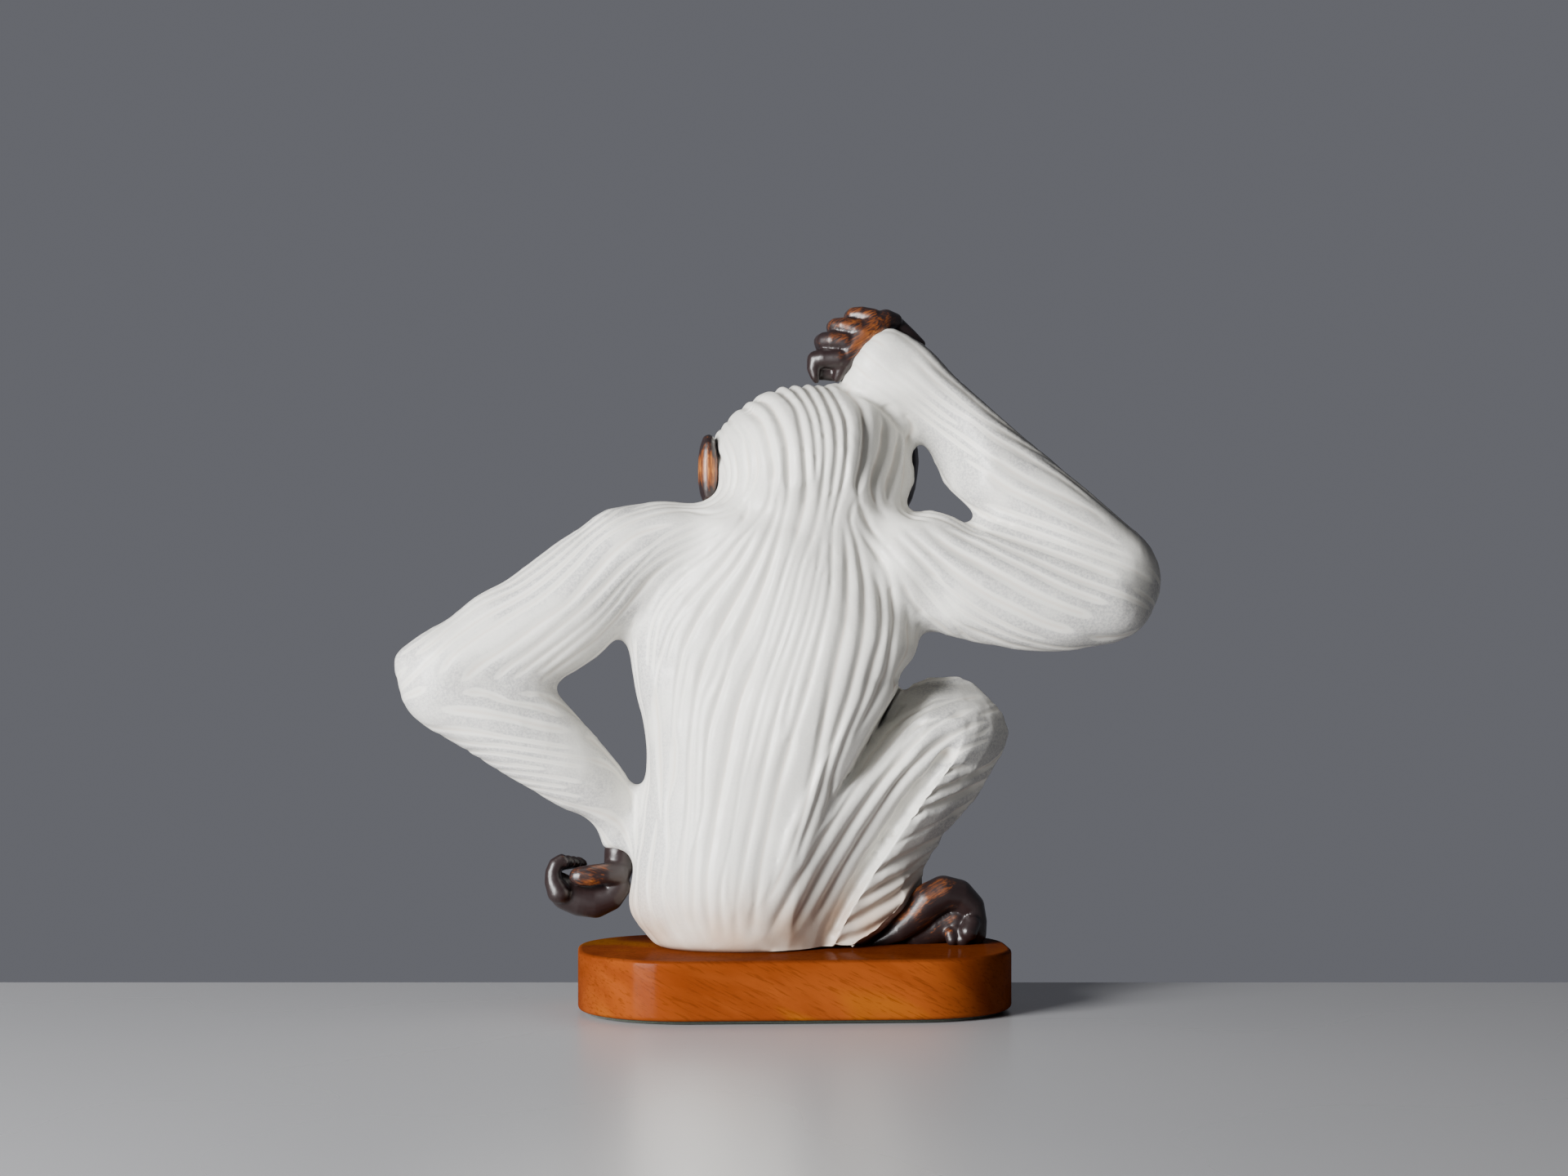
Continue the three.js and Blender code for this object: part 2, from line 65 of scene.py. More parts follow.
# Furrows of the coat as the camera sees them, on the plane through the middle: x, z ... in millimetres.
DEEP_FURROWS = (
    (-47, 25, -52, 31, -54, 38, -51.5, 73),
    (-53, 122.5, -52.5, 136, -50.5, 145, -45, 154.5, -37, 161.5),
    (-48, 129, -44.5, 140.5, -40, 148.5),
    (-42.5, 103.5, -42.5, 112.5, -41, 122, -38.5, 133.5),
    (-41.5, 24.5, -44, 28.5, -49, 42, -47.5, 59.5, -47.5, 79, -46, 86.5,
     -45, 111.5, -43.5, 125, -41, 136, -37, 144.5, -31.5, 153.5, -20.5, 168, -12, 183),
    (-55, 126, -55, 134.5, -54, 142, -50.5, 151,
     -44.5, 159, -29.5, 171.5, -24.5, 176.5, -17.5, 187, -15.5, 193),
    (-38, 27, -42, 37, -42.5, 50, -40, 73.5, -39, 98,
     -35.5, 123, -33.5, 130, -30, 138, -11.5, 173.5, -6.5, 187, -5.5, 194),
    (-50, 68.5, -51.5, 103.5, -52.5, 117.5, -51, 128, -48.5, 137, -46, 143.5, -42.5, 149, -26, 168,
     -22, 173.5, -12, 185, -10, 188, -9, 192, -8, 202.5, -10.5, 214.5, -13.5, 221.5, -18, 225.5),
    (-29.5, 188, -24, 192.5, -22.5, 196.5, -23, 207, -26.5, 216),
    (-19.5, 191.5, -18, 198.5, -18.5, 209, -19.5, 214, -23.5, 219.5),
    (-33, 24.5, -37.5, 34, -38, 44.5, -36.5, 62.5, -34, 75.5, -33.5, 86.5, -32, 103.5, -25.5, 125, -8, 169,
     -4, 183.5, -2, 192.5, -2, 202.5, -2.5, 210.5, -3.5, 215.5, -6, 222, -9, 226.5, -11.5, 228.5, -14.5, 229),
    (-31, 26.5, -32.5, 36.5, -33, 44.5, -30, 67.5, -24.5, 97, -21.5, 111.5, -11, 139.5,
     -3, 165.5, 2, 181, 4.5, 191, 4.5, 205.5, 3, 218, 0.5, 226.5, -1.5, 229, -4, 231.5),
    (-21.5, 25.5, -21.5, 37.5, -20, 47.5, -12.5, 84.5, -5.5, 113.5, 6.5, 153, 10.5, 173.5, 11, 178),
    (-26, 27, -27.5, 36.5, -27, 48.5, -25, 56, -19, 89.5, -14, 111, -0.5, 152.5,
     3, 166.5, 7.5, 178.5, 10, 189, 11.5, 200, 12, 212.5, 9, 226.5, 6, 232),
    (-3.5, 105.5, 0, 120.5, 8.5, 149.5, 11.5, 165),
    (-16, 26.5, -11.5, 58.5, -7.5, 77, 9, 134.5, 14, 157,
     15, 181, 19.5, 201, 20.5, 211.5, 19.5, 222.5, 17, 228, 14.5, 232),
    (-10.5, 38.5, -6.5, 46.5, 17, 133, 19.5, 144, 20.5, 153.5, 20.5, 168, 19, 182),
    (1.5, 56, 9, 77.5, 15, 99, 22.5, 122.5, 27, 146, 27, 157, 24, 174.5, 21.5, 184.5, 22, 187.5, 23.5, 191),
    (10.5, 70.5, 14, 79.5, 15.5, 87.5, 19.5, 99.5, 27.5, 119,
     30.5, 129.5, 33, 139.5, 33.5, 145.5, 33, 154, 31, 163.5),
    (-9.5, 27, 0, 44, 15.5, 70, 36.5, 100, 43.5, 107.5, 47, 110, 57, 114.5, 66.5, 116.5),
    (63.5, 140.5, 46.5, 161.5, 41, 166.5, 33.5, 175, 29, 180.5, 27, 184.5,
     25, 189.5, 24.5, 193, 27, 207, 27.5, 219, 26, 225.5, 22, 231),
    (34, 185, 31.5, 189.5, 30.5, 194, 34.5, 214.5, 34.5, 220, 32.5, 224),
    (24, 103, 31, 116, 35, 125, 37, 136, 38, 146, 37, 156, 36, 161.5, 25.5, 179),
    (37, 189, 35.5, 191, 35.5, 193, 39, 206, 40, 213.5, 39.5, 217.5),
    (26, 52.5, 32, 57, 58.5, 71),
    (-1, 28.5, 16, 59, 39, 92, 46, 100, 50.5, 104, 57.5, 108, 69.5, 113),
    (18, 39.5, 22.5, 46.5, 26.5, 56, 33.5, 63.5, 37.5, 70, 45.5, 81.5, 53, 90, 56.5, 93, 62, 96, 75, 101),
    (7.5, 32, 26, 63.5, 47.5, 92.5, 53, 97.5, 59, 101.5, 69.5, 106.5, 74.5, 107.5),
    (41.5, 100.5, 45.5, 105.5, 52, 108, 57, 109),
    (44, 110.5, 53.5, 115.5, 60.5, 116.5),
    (64.5, 100.5, 73, 104, 75, 106.5),
)
FAINT_FURROWS = (
    (-52, 39, -50, 62),
    (-57.5, 143.5, -54.5, 151, -49, 159, -44, 164, -35.5, 170, -27.5, 177.5, -23, 180.5),
    (-37.5, 63, -36.5, 76.5, -36, 92.5, -34, 115, -28, 128.5, -26, 136),
    (-23, 37.5, -24, 41, -24, 43.5, -12, 106.5, -8.5, 120, -2, 138, 7, 169.5),
    (-10.5, 132.5, 2.5, 173.5),
)
ARM_FURROWS = (
    (-67, 186.5, -79, 177.5, -90.5, 167.5, -103, 158.5, -117, 151.5, -128, 143.5, -137, 136, -143, 132),
    (-134, 112.5, -121, 111.5, -106.5, 109, -94, 106, -82, 104),
    (-133.5, 105, -121, 104, -106.5, 101.5, -94, 99.5, -81.5, 97.5),
    (-127, 118.5, -116.5, 118.5, -106.5, 115, -95.5, 113, -85, 109.5),
    (-122.5, 96.5, -110, 95.5, -97.5, 93.5, -85, 91.5, -78, 90.5),
    (-111.5, 89.5, -99, 88, -88.5, 86.5, -78, 84.5),
    (-99, 83, -88.5, 81, -78, 79),
    (-33, 186, -42, 187, -53, 185.5, -63.5, 181.5, -73.5, 175,
     -83.5, 164.5, -94, 155, -106.5, 147, -119, 139, -128, 132, -134, 123.5),
    (-43.5, 182, -51.5, 180.5, -59, 178, -67, 172, -76, 162,
     -85, 152, -95.5, 144.5, -108.5, 135, -119, 128, -126, 121.5),
    (-35.5, 183, -42, 180.5, -48, 177.5, -53.5, 173.5, -62.5, 167,
     -70.5, 159, -79, 150.5, -88.5, 142.5, -99, 134, -108.5, 127, -113.5, 122.5),
    (-30.5, 182, -37.5, 179, -44, 176, -51, 172, -59, 164.5,
     -65.5, 157.5, -73.5, 148.5, -82, 141.5, -93, 133, -101, 127, -106.5, 122.5),
    (-28.5, 180, -37.5, 175.5, -46.5, 171, -53.5, 166.5, -60, 160.5,
     -66.5, 152, -74, 144, -83.5, 136, -92, 129, -97.5, 124.5),
    (-21, 180.5, -29, 177, -38.5, 172, -47, 167, -53.5, 161.5,
     -58.5, 155.5, -65.5, 147, -73.5, 138.5, -81.5, 132.5, -88.5, 127.5),
    (-31.5, 184, -24.5, 185.5, -22, 187, -16, 194.5, -14.5, 200.5, -15.5, 211.5, -17.5, 216, -22, 221.5),
    (34, 174.5, 41.5, 165.5, 50.5, 155, 57.5, 147.5, 67.5, 141.5, 77.5, 137.5),
    (38, 178, 47, 169, 56, 159.5, 65.5, 152, 75.5, 146, 87.5, 140.5, 97.5, 137.5),
    (42.5, 246.5, 51, 238, 61, 229.5, 70, 222.5, 79, 217, 88.5, 211.5, 96, 207),
    (41.5, 180.5, 52, 171, 62, 162.5, 73, 155, 84, 149.5, 96, 144, 108, 140.5),
    (38, 242, 48.5, 233.5, 58.5, 226, 67.5, 220.5,
     75.5, 214.5, 86, 208.5, 96, 202.5, 106.5, 195.5, 113.5, 190),
    (34, 236, 44.5, 228.5, 54.5, 221, 64.5, 214.5, 74, 207.5,
     84, 201, 94.5, 195.5, 105.5, 190.5, 115, 185.5, 120, 181.5),
    (48.5, 181.5, 58.5, 173.5, 70, 167, 80.5, 161, 92.5, 154.5, 104.5, 149.5, 115, 146),
    (55, 181.5, 67.5, 175.5, 79, 169.5, 91, 163.5, 103, 157.5, 113.5, 153.5, 121.5, 151),
    (62, 208, 71.5, 202, 80.5, 195.5, 91, 190.5, 101, 185.5, 111.5, 180.5, 121.5, 175.5, 126, 173),
    (70.5, 180.5, 80.5, 177, 92.5, 173, 106.5, 168, 118, 163.5, 125, 161),
    (70.5, 190, 80.5, 186.5, 91, 183, 101, 179.5, 111.5, 175.5, 122.5, 171.5, 130.5, 168),
)
CALF_FURROWS = (
    (12.5, 22.5, 19.5, 25, 26.5, 27.5, 35, 32.5, 41, 37.5, 45, 42.5),
    (14.5, 30, 23.5, 32.5, 32, 37.5, 39.5, 42, 45.5, 48.5),
    (20, 39.5, 27, 41, 35, 45.5, 43.5, 50.5, 48.5, 54.5),
    (25.5, 48.5, 34, 51.5, 41.5, 55.5, 51, 60.5),
    (31.5, 57.5, 39.5, 61.5, 48, 65.5, 57, 69.5),
    (39.5, 69, 46.5, 72.5, 55, 75.5, 64, 79.5),
    (46, 78, 53, 80, 60, 82.5, 67, 86),
    (52, 86.5, 61.5, 89, 67.5, 90),
)

# Clay of the ears, the hands and the right foot: strings of balls of x, y, z, radius in millimetres.
LEFT_EAR = (
    ((-31.9, 3.2, 211.4, 2.2), (-31.9, 3.2, 209.1, 2.9), (-31.9, 3.2, 205.8, 3.4), (-31.9, 3.2, 202.1, 3.5),
     (-31.9, 3.2, 198.4, 3.4), (-31.9, 3.2, 195.1, 2.9), (-31.9, 3.2, 192.8, 2.2)),
    ((-31.9, 5.2, 212.7, 2.5), (-31.9, 5.2, 210.1, 3.2), (-31.9, 5.2, 206.4, 3.8), (-31.9, 5.2, 202.2, 4),
     (-31.9, 5.2, 198, 3.8), (-31.9, 5.2, 194.3, 3.2), (-31.9, 5.2, 191.7, 2.5)),
    ((-31.8, 7.5, 213.2, 2.5), (-31.8, 7.5, 210.4, 3.4), (-31.8, 7.5, 206.6, 4), (-31.8, 7.5, 202.3, 4.1),
     (-31.8, 7.5, 197.9, 4), (-31.8, 7.5, 194.1, 3.4), (-31.8, 7.5, 191.4, 2.5)),
    ((-31.7, 10, 212.9, 2.5), (-31.7, 10, 210.3, 3.3), (-31.7, 10, 206.6, 3.9), (-31.7, 10, 202.4, 4),
     (-31.7, 10, 198.1, 3.9), (-31.7, 10, 194.4, 3.3), (-31.7, 10, 191.8, 2.5)),
    ((-31.6, 12, 211.8, 2.2), (-31.6, 12, 209.5, 2.9), (-31.6, 12, 206.2, 3.4), (-31.6, 12, 202.4, 3.5),
     (-31.6, 12, 198.7, 3.4), (-31.6, 12, 195.4, 2.9), (-31.6, 12, 193, 2.2)),
)
RIGHT_EAR = (
    ((46, 27, 211.5, 2.7), (45.6, 27, 209, 3.5), (45.1, 27, 205.6, 4.2), (44.6, 27, 201.7, 4.3),
     (44, 27, 197.8, 4.2), (43.5, 27, 194.4, 3.5), (43.2, 27, 192, 2.7)),
    ((46.2, 29, 212.8, 3), (45.8, 29, 210.1, 4), (45.3, 29, 206.2, 4.7), (44.8, 29, 201.8, 4.9),
     (44.2, 29, 197.4, 4.7), (43.7, 29, 193.5, 4), (43.4, 29, 190.8, 3)),
    ((46.4, 31.5, 213.3, 3.1), (46.1, 31.5, 210.4, 4.1), (45.6, 31.5, 206.4, 4.9), (45, 31.5, 201.9, 5),
     (44.4, 31.5, 197.3, 4.9), (44, 31.5, 193.3, 4.1), (43.6, 31.5, 190.5, 3.1)),
    ((46.7, 34.5, 213.1, 3), (46.3, 34.5, 210.3, 4), (45.9, 34.5, 206.4, 4.8), (45.3, 34.5, 202, 4.9),
     (44.7, 34.5, 197.6, 4.8), (44.2, 34.5, 193.7, 4), (43.9, 34.5, 190.9, 3)),
    ((46.9, 37, 211.9, 2.7), (46.6, 37, 209.5, 3.6), (46.1, 37, 206, 4.2), (45.5, 37, 202.1, 4.4),
     (45, 37, 198.1, 4.2), (44.5, 37, 194.7, 3.6), (44.1, 37, 192.2, 2.7)),
)
LEFT_HAND = (
    ((-65.4, 10, 57.9, 5.8), (-65.7, 10, 55.1, 5.6), (-65.8, 10, 51.6, 5.5), (-66.5, 9, 48.9, 5.2)),
    ((-66.5, 7, 50.4, 4.9), (-71.2, 4, 50.2, 4.1), (-76.4, 2.5, 49.8, 4), (-79.7, 2.5, 49.5, 3.8),
     (-81, 2.5, 49.4, 3.4)),
    ((-65.7, 9, 45, 4.7), (-69.2, 9, 41.2, 5.5), (-74.7, 10, 39.6, 6.6), (-80.2, 10, 40.3, 6.6),
     (-84.9, 10, 42.3, 6.5), (-88.2, 10, 45.6, 5)),
    ((-66.4, 16, 42.2, 4.2), (-74.7, 16, 39.5, 6.4), (-81.9, 16, 40.6, 6.6), (-87.7, 16, 44, 5.3)),
    ((-88.2, 4, 43.4, 4.4), (-90.2, 4, 47.3, 3.4), (-90.5, 4, 50.8, 2.9), (-89.4, 4, 53.8, 2.7),
     (-87.2, 4.5, 55.4, 2.4), (-86.2, 4.5, 54.7, 2.1)),
    ((-88.2, 8.4, 43, 4.4), (-90.2, 8.4, 46.9, 3.4), (-90.5, 8.4, 50.4, 2.9), (-89.4, 8.4, 53.5, 2.7),
     (-85, 8.9, 54.7, 2.3), (-83.9, 8.9, 54.1, 2)),
    ((-88.2, 12.8, 42.6, 4.4), (-90.3, 12.8, 46.5, 3.4), (-90.6, 12.8, 50.1, 2.9),
     (-89.5, 12.8, 53.1, 2.7), (-82.9, 13.3, 54.1, 2.2), (-81.6, 13.3, 53.5, 1.9)),
    ((-88.3, 17, 42.2, 4.4), (-90.3, 17, 46.1, 3.5), (-90.6, 17, 49.7, 2.9), (-89.5, 17, 52.7, 2.7),
     (-80.7, 17.5, 53.5, 2.1), (-79.3, 17.5, 52.9, 1.8)),
)
RIGHT_HAND = (
    ((20.4, 10, 244.5, 5), (23.4, 10, 249.6, 5.5), (27.2, 10, 253.6, 5.5), (31.6, 11, 257.4, 5),
     (35.8, 12, 260.1, 3.7), (39.3, 14, 259.6, 3)),
    ((22.3, 17, 246.7, 5.1), (29.1, 17, 254.9, 5.4), (36.3, 18, 260.1, 3.7), (40.6, 17, 258.1, 3.2),
     (45.7, 17, 253.9, 2.7), (49.8, 17, 250.9, 1.8)),
    ((30.6, 11, 260.1, 3.9), (26.6, 12, 261.4, 3.4), (23.9, 13, 261.3, 3.3), (23.1, 18, 261.2, 2.9),
     (24.2, 23, 257.7, 2.6), (24.6, 24, 251.3, 2.4)),
    ((25, 9, 255.6, 3.8), (19.7, 10, 257.1, 3.4), (17, 12, 257.2, 3.2), (16.2, 17, 257.2, 2.8),
     (17.3, 22, 253.5, 2.6), (18, 23, 247.1, 2.4)),
    ((20.3, 8.5, 250.8, 3.9), (15.3, 9, 251.5, 3.6), (12.7, 11, 251.5, 3.5), (11.7, 16, 251.5, 3.1),
     (12.8, 21, 248.3, 2.7), (13.5, 22, 243, 2.4)),
    ((17.6, 8.5, 244.8, 4), (11.9, 9, 244.8, 3.6), (9.2, 10, 244.2, 3.6), (8.2, 9.5, 241.1, 2.7),
     (8.6, 9, 238, 1.9), (9.1, 9, 236.2, 1.1)),
    ((19.1, 10, 242.2, 3.7), (18, 10, 239.2, 2.5), (16.9, 10, 237, 1.4)),
    ((12.2, 18, 242, 3.7), (16.3, 18, 241.4, 4.1)),
    ((9.8, 13, 239, 2.2), (11.9, 13, 239.8, 3.2), (14.6, 13, 239.7, 3.2), (17.1, 13, 238.3, 2.1)),
)
RIGHT_FOOT = (
    ((31.1, 3, 23.9, 1.5), (35.2, 3, 25.7, 2.8), (40.1, 2.5, 28.7, 4.4), (46, 3, 33.3, 5.7),
     (51.4, 4, 39.2, 7.1), (56.9, 4, 42.2, 6.8), (62.6, 5, 41.3, 6.2), (67.1, 6, 36.7, 5.8),
     (69.3, 6, 31.2, 4.5), (69.6, 6, 26.7, 4), (68.8, 6, 24.5, 2.8)),
    ((65.9, 0, 28, 3.6), (67.4, 1, 31.1, 3.3)),
    ((59.3, 1, 27.1, 2.4), (59.8, 0.5, 24.9, 2.3), (61.4, 2, 28.9, 2.2)),
    ((63.8, 1, 25.1, 2.8),),
    ((47.3, 8, 26.1, 5.1), (54.6, 8, 29.4, 6.6), (61.8, 8, 31.6, 7.2)),
    ((61.5, 10.5, 39.1, 6.7), (67.1, 10.5, 35.2, 5.5), (69.6, 10.5, 30.2, 4.4), (69.3, 10.5, 25.7, 3.7),
     (65.4, 10.5, 24.1, 3)),
    ((62.3, 17, 38.5, 6.7), (67.9, 17, 34.5, 5.6), (70.4, 17, 29.5, 4.5), (70.1, 17, 25, 3.7),
     (66.2, 17, 23.4, 3)),
    ((62.9, 23, 37.9, 6.7), (68.6, 23, 33.9, 5.6), (71.1, 23, 28.9, 4.5), (70.8, 23, 24.4, 3.7),
     (66.9, 23, 22.7, 3)),
    ((52.6, 16, 32.5, 10.6), (62.1, 16, 34.7, 10.6), (64.4, 16, 29.1, 7.8), (42.4, 14, 25.5, 5)),
)

# Sideways pulls of the clay: x, z, shift along x, shift along z, reach in millimetres.
GRABS = (
    (-26.2, 226.9, 2.1, -1.9, 16), (-15.6, 232.9, 0.8, -1.7, 14), (-58.4, 135.9, -2.9, 0, 14),
    (-58, 121, -1.7, 0, 14), (-58.4, 86.5, 0.6, -4.4, 8), (-58.4, 52, -2.3, 0, 12),
    (-56.5, 38.6, -4.8, 0, 14), (45.6, 126.1, -3.1, -2.3, 10), (42.5, 123.8, -3.1, -2.5, 9),
    (70, 117.8, 1.9, 1.3, 16), (76.4, 111.1, 1.2, 0.8, 14), (64.8, 65.8, -2.9, 0.6, 12),
    (58, 55.3, -4.6, 1, 14), (54.1, 49.5, -3.9, 0.8, 10), (49.9, 202, -1.7, 5, 12),
    (48.1, 207, -1.9, 5.2, 12), (62.3, 187, 3.7, -2.9, 11), (65.9, 184.1, 3.7, -3.1, 9),
    (47.2, 190, -3.3, -1.9, 8), (43.9, 188.1, -2.9, -1.5, 6), (77.4, 105.3, 2.7, 0, 16),
    (-75, 65.1, 2.7, 1.5, 9), (-81.3, 68.8, 1, 1.7, 9), (-40.2, 191.8, 0, -2.5, 12),
    (-118.4, 154.5, -1.5, 1.7, 14), (-148.8, 132.2, -1.3, 1, 8), (-80.3, 183.7, 0.4, -1, 12),
    (48, 207, 1.7, 0, 15), (67.1, 122.5, 0.2, 1.2, 12), (46.2, 121.1, 0, 2.1, 12),
    (53.4, 124.8, 0, -1, 10), (81.4, 107.8, -1.2, 0, 14), (48.1, 54, 1.9, 0, 16),
    (49.7, 247, 1.2, 1.5, 14),
)

# Creases where limbs cross, as the camera sees them: share of the depth, then x, z ... in millimetres.
CREASES = (
    (0.5, (67.3, 105.3, 59.6, 96.1, 52.7, 86.9, 46.6, 78.9, 40.1, 69.7,
           32.3, 58.3, 26.2, 49.4, 20.6, 40.6, 15.4, 31.1, 12.3, 24)),
    (1.1, (11.7, 236.4, 16.9, 234.5, 24, 232.1, 30.2, 229.1,
           35.1, 225.4, 39.1, 220.8, 42.5, 216.8, 44.7, 213.1)),
)

# Places where the clay turns away from the camera: x, z, shift, reach in millimetres.
TURNS = (
    (48.1, 208.2, 14, 28), (141.3, 157.1, 4.5, 20), (-32, 136.2, 7, 50), (-32, 84.1, 5, 48),
    (-8.3, 133.1, 5, 60), (-8.3, 77.9, 4, 55), (51.2, 153.1, 3, 14),
)

# Near side of the right leg: z, then x and y in pairs across the leg, in millimetres.
LEG_RELIEF = (
    (121.5, 26.5, -27, 39.5, -14, 41.3, 12, 48.7, 12, 54.9, 12,
     59.6, 11.5, 61.7, 11.5, 64.2, 12, 67.3, 13, 70.4, 15),
    (117.8, 24.6, -28, 37.9, -16, 39.1, 10, 48.7, 6.5, 54.9, 4,
     61.1, 5, 63.6, 5.5, 66.7, 7, 70.4, 9.5, 74.1, 13),
    (113.2, 21.9, -29, 35.1, -18, 36.4, 7.5, 45.6, 2, 52.4, -2.5,
     62.6, -0.5, 65.7, 0.5, 69.8, 2.5, 74.1, 6, 78.1, 11),
    (108.6, 19.4, -29.5, 32, -19, 33.3, 5, 43.2, -3, 50.3, -8,
     61.1, -6.5, 64.2, -5.5, 69.5, -2.5, 75, 2.5, 80.3, 9.5),
    (102.4, 16.3, -30, 28.3, -20, 29.6, 0, 41, -8, 48.7, -11.5,
     63, -8.5, 65.4, -8, 69.5, -5, 75.4, 0.5, 81.6, 9),
    (96.3, 12.3, -31, 24.9, -21, 26.2, -5, 38.8, -12, 47.2, -13,
     59.6, -9, 62.3, -10, 66.7, -7.5, 72.9, -1.5, 79.1, 8),
    (90.1, 8.6, -31, 21.9, -21, 22.8, -10, 34.8, -14.5, 45, -13.5,
     55.5, -8, 58.6, -11, 63, -9, 69.2, -3, 75.7, 7),
    (84, 5.5, -31.5, 17.8, -21, 18.8, -17, 30.2, -16.5, 40.1, -13.5,
     50.6, -7, 54, -11, 58.3, -9, 64.5, -3, 71, 7),
    (77.9, 1.8, -32, 13.8, -23.5, 14.8, -20.5, 25.9, -18, 35.7, -14,
     45.6, -6.5, 49, -11, 53.4, -9, 59.9, -3, 66.7, 7),
    (71.7, -0.6, -31.5, 10.8, -24.5, 11.7, -22.5, 22.5, -18.5, 31.7, -14,
     41.3, -6.5, 44.7, -11, 49, -9, 55.2, -3, 62, 7),
    (65.6, -3.7, -31, 7.7, -25, 8.6, -24, 19.1, -18.5, 27.7, -13.5,
     37, -6.5, 40.4, -11, 44.7, -9, 50.9, -3, 57.7, 7),
    (59.4, -5.3, -30.5, 4.9, -26, 5.5, -25.5, 16, -18.5, 24, -13.5,
     33, -6.5, 36.4, -11, 40.7, -9, 46.9, -3, 53.7, 7),
    (53.3, -6.8, -30, 2.8, -26, 3.7, -25.5, 12.9, -18.5, 20.3, -13.5,
     28.6, -6.8, 32, -11, 36.4, -9, 42.5, -3, 50, 7),
    (47.2, -8.3, -29, 1.5, -25, 2.4, -24.5, 10.4, -18.5, 17.2, -13.5,
     24.6, -7.2, 28, -11.2, 33.3, -8.8, 41.9, -3, 48.1, 8),
    (41, -9.9, -28, 0.3, -24.5, 1.2, -24, 8, -18.5, 14.1, -13.5,
     20.9, -7.8, 24.3, -11.6, 30.2, -9.2, 42.5, -3, 45.9, 6),
    (34.9, -11.1, -26.5, -0.9, -23.3, 0, -23, 6.1, -18, 11.7, -13.7,
     17.5, -8.5, 20.9, -12, 25.6, -10, 38.8, -6, 41, 6),
    (28.7, -11.7, -25.5, -1.6, -22, -0.6, -21.5, 4.3, -17.5, 9.2, -14,
     14.1, -9.5, 17.5, -12.3, 22.2, -10.5, 32, -8, 34.5, 6),
    (22.6, -12.3, -23.5, -2.2, -20, -1.3, -19.5, 3.1, -17, 7.1, -14.2,
     11.4, -10.5, 14.8, -12.5, 17.2, -12, 21.5, -11, 24.6, 4),
)

# Clay laid in the fold between the torso and the right leg: balls of x, y, z, radius in millimetres.
LEG_FILL = (
    ((45.6, 0, 77.7, 6), (37, 0, 65.4, 6), (28.6, 0, 53.1, 6),
     (20.9, 0, 40.9, 6), (14.1, 0, 29.2, 6), (11.4, 0, 29.2, 6)),
)

# Run of the coat on the side away from the camera, seen from the front: x, z ... in millimetres.
FRONT_STROKES = (
    (-4, 176, -8, 140, -14, 90, -18, 50),
    (-28, 172, -38, 140, -42, 100, -38, 60),
    (26, 172, 30, 140, 18, 100, 6, 60),
    (-40, 178, -78, 158, -120, 130, -150, 124),
    (-148, 122, -112, 108, -82, 84, -66, 62),
    (44, 172, 80, 158, 110, 154, 138, 156),
    (134, 158, 104, 180, 70, 208, 34, 246),
    (14, 34, 36, 80, 54, 106, 74, 116),
    (82, 112, 70, 90, 52, 58, 40, 30),
    (-30, 48, -40, 42, -52, 38),
    (-54, 40, -30, 42, 0, 36, 14, 32),
    (-12, 238, -16, 224, -18, 206),
    (6, 240, 4, 226, 2, 206),
    (24, 238, 26, 222, 26, 204),
)

# Depth of the furrows over the figure: x, z, depth in millimetres.
COAT_DEPTH = (
    (9, 238, 1.9), (9, 205, 2.2), (-22, 208, 1.4), (34, 212, 2.2), (8, 182, 0.9), (-18, 186, 1.5),
    (0, 152, 1.6), (-12, 115, 1.15), (-18, 75, 0.75), (-18, 45, 0.65), (-18, 26, 0.6), (34, 145, 1.1),
    (24, 105, 1.2), (42, 130, 0.8), (34, 113, 1.0), (-52, 125, 1.1),
    (-54, 75, 1.0), (-50, 172, 0.7), (-90, 146, 0.6), (-140, 125, 0.25),
    (-105, 106, 0.4), (-70, 74, 0.2), (55, 168, 1.1), (90, 157, 0.6), (138, 157, 0.25), (105, 184, 0.5),
    (62, 222, 0.4), (32, 246, 0.15), (40, 86, 2.3), (26, 60, 1.5), (52, 104, 2.0),
    (70, 122, 0.7), (78, 100, 0.6), (60, 84, 2.3),
    (46, 48, 2.3), (36, 30, 1.6),
)


def settings():
    return bpy.context.scene.ape


def piece_of(name, mesh, material, slot, *nodes):
    """A finished piece at the origin that stands for its nodes."""
    mesh.name = name + "_mesh"
    mesh.materials.clear()
    mesh.materials.append(material)
    obj = bpy.data.objects.new(name, mesh)
    bpy.context.scene.collection.objects.link(obj)
    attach(obj, "root")
    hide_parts(*nodes)
    return obj


def mesh_of(bm, name):
    """A finished bmesh as a mesh."""
    mesh = bpy.data.meshes.new(name)
    bm.to_mesh(mesh)
    bm.free()
    return mesh


def merged_copy(node):
    """A node's mesh as a new bmesh with its corners merged."""
    bm = bmesh.new()
    bm.from_mesh(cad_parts[node].data)
    bmesh.ops.remove_doubles(bm, verts=bm.verts, dist=1e-6)
    bm.normal_update()
    return bm


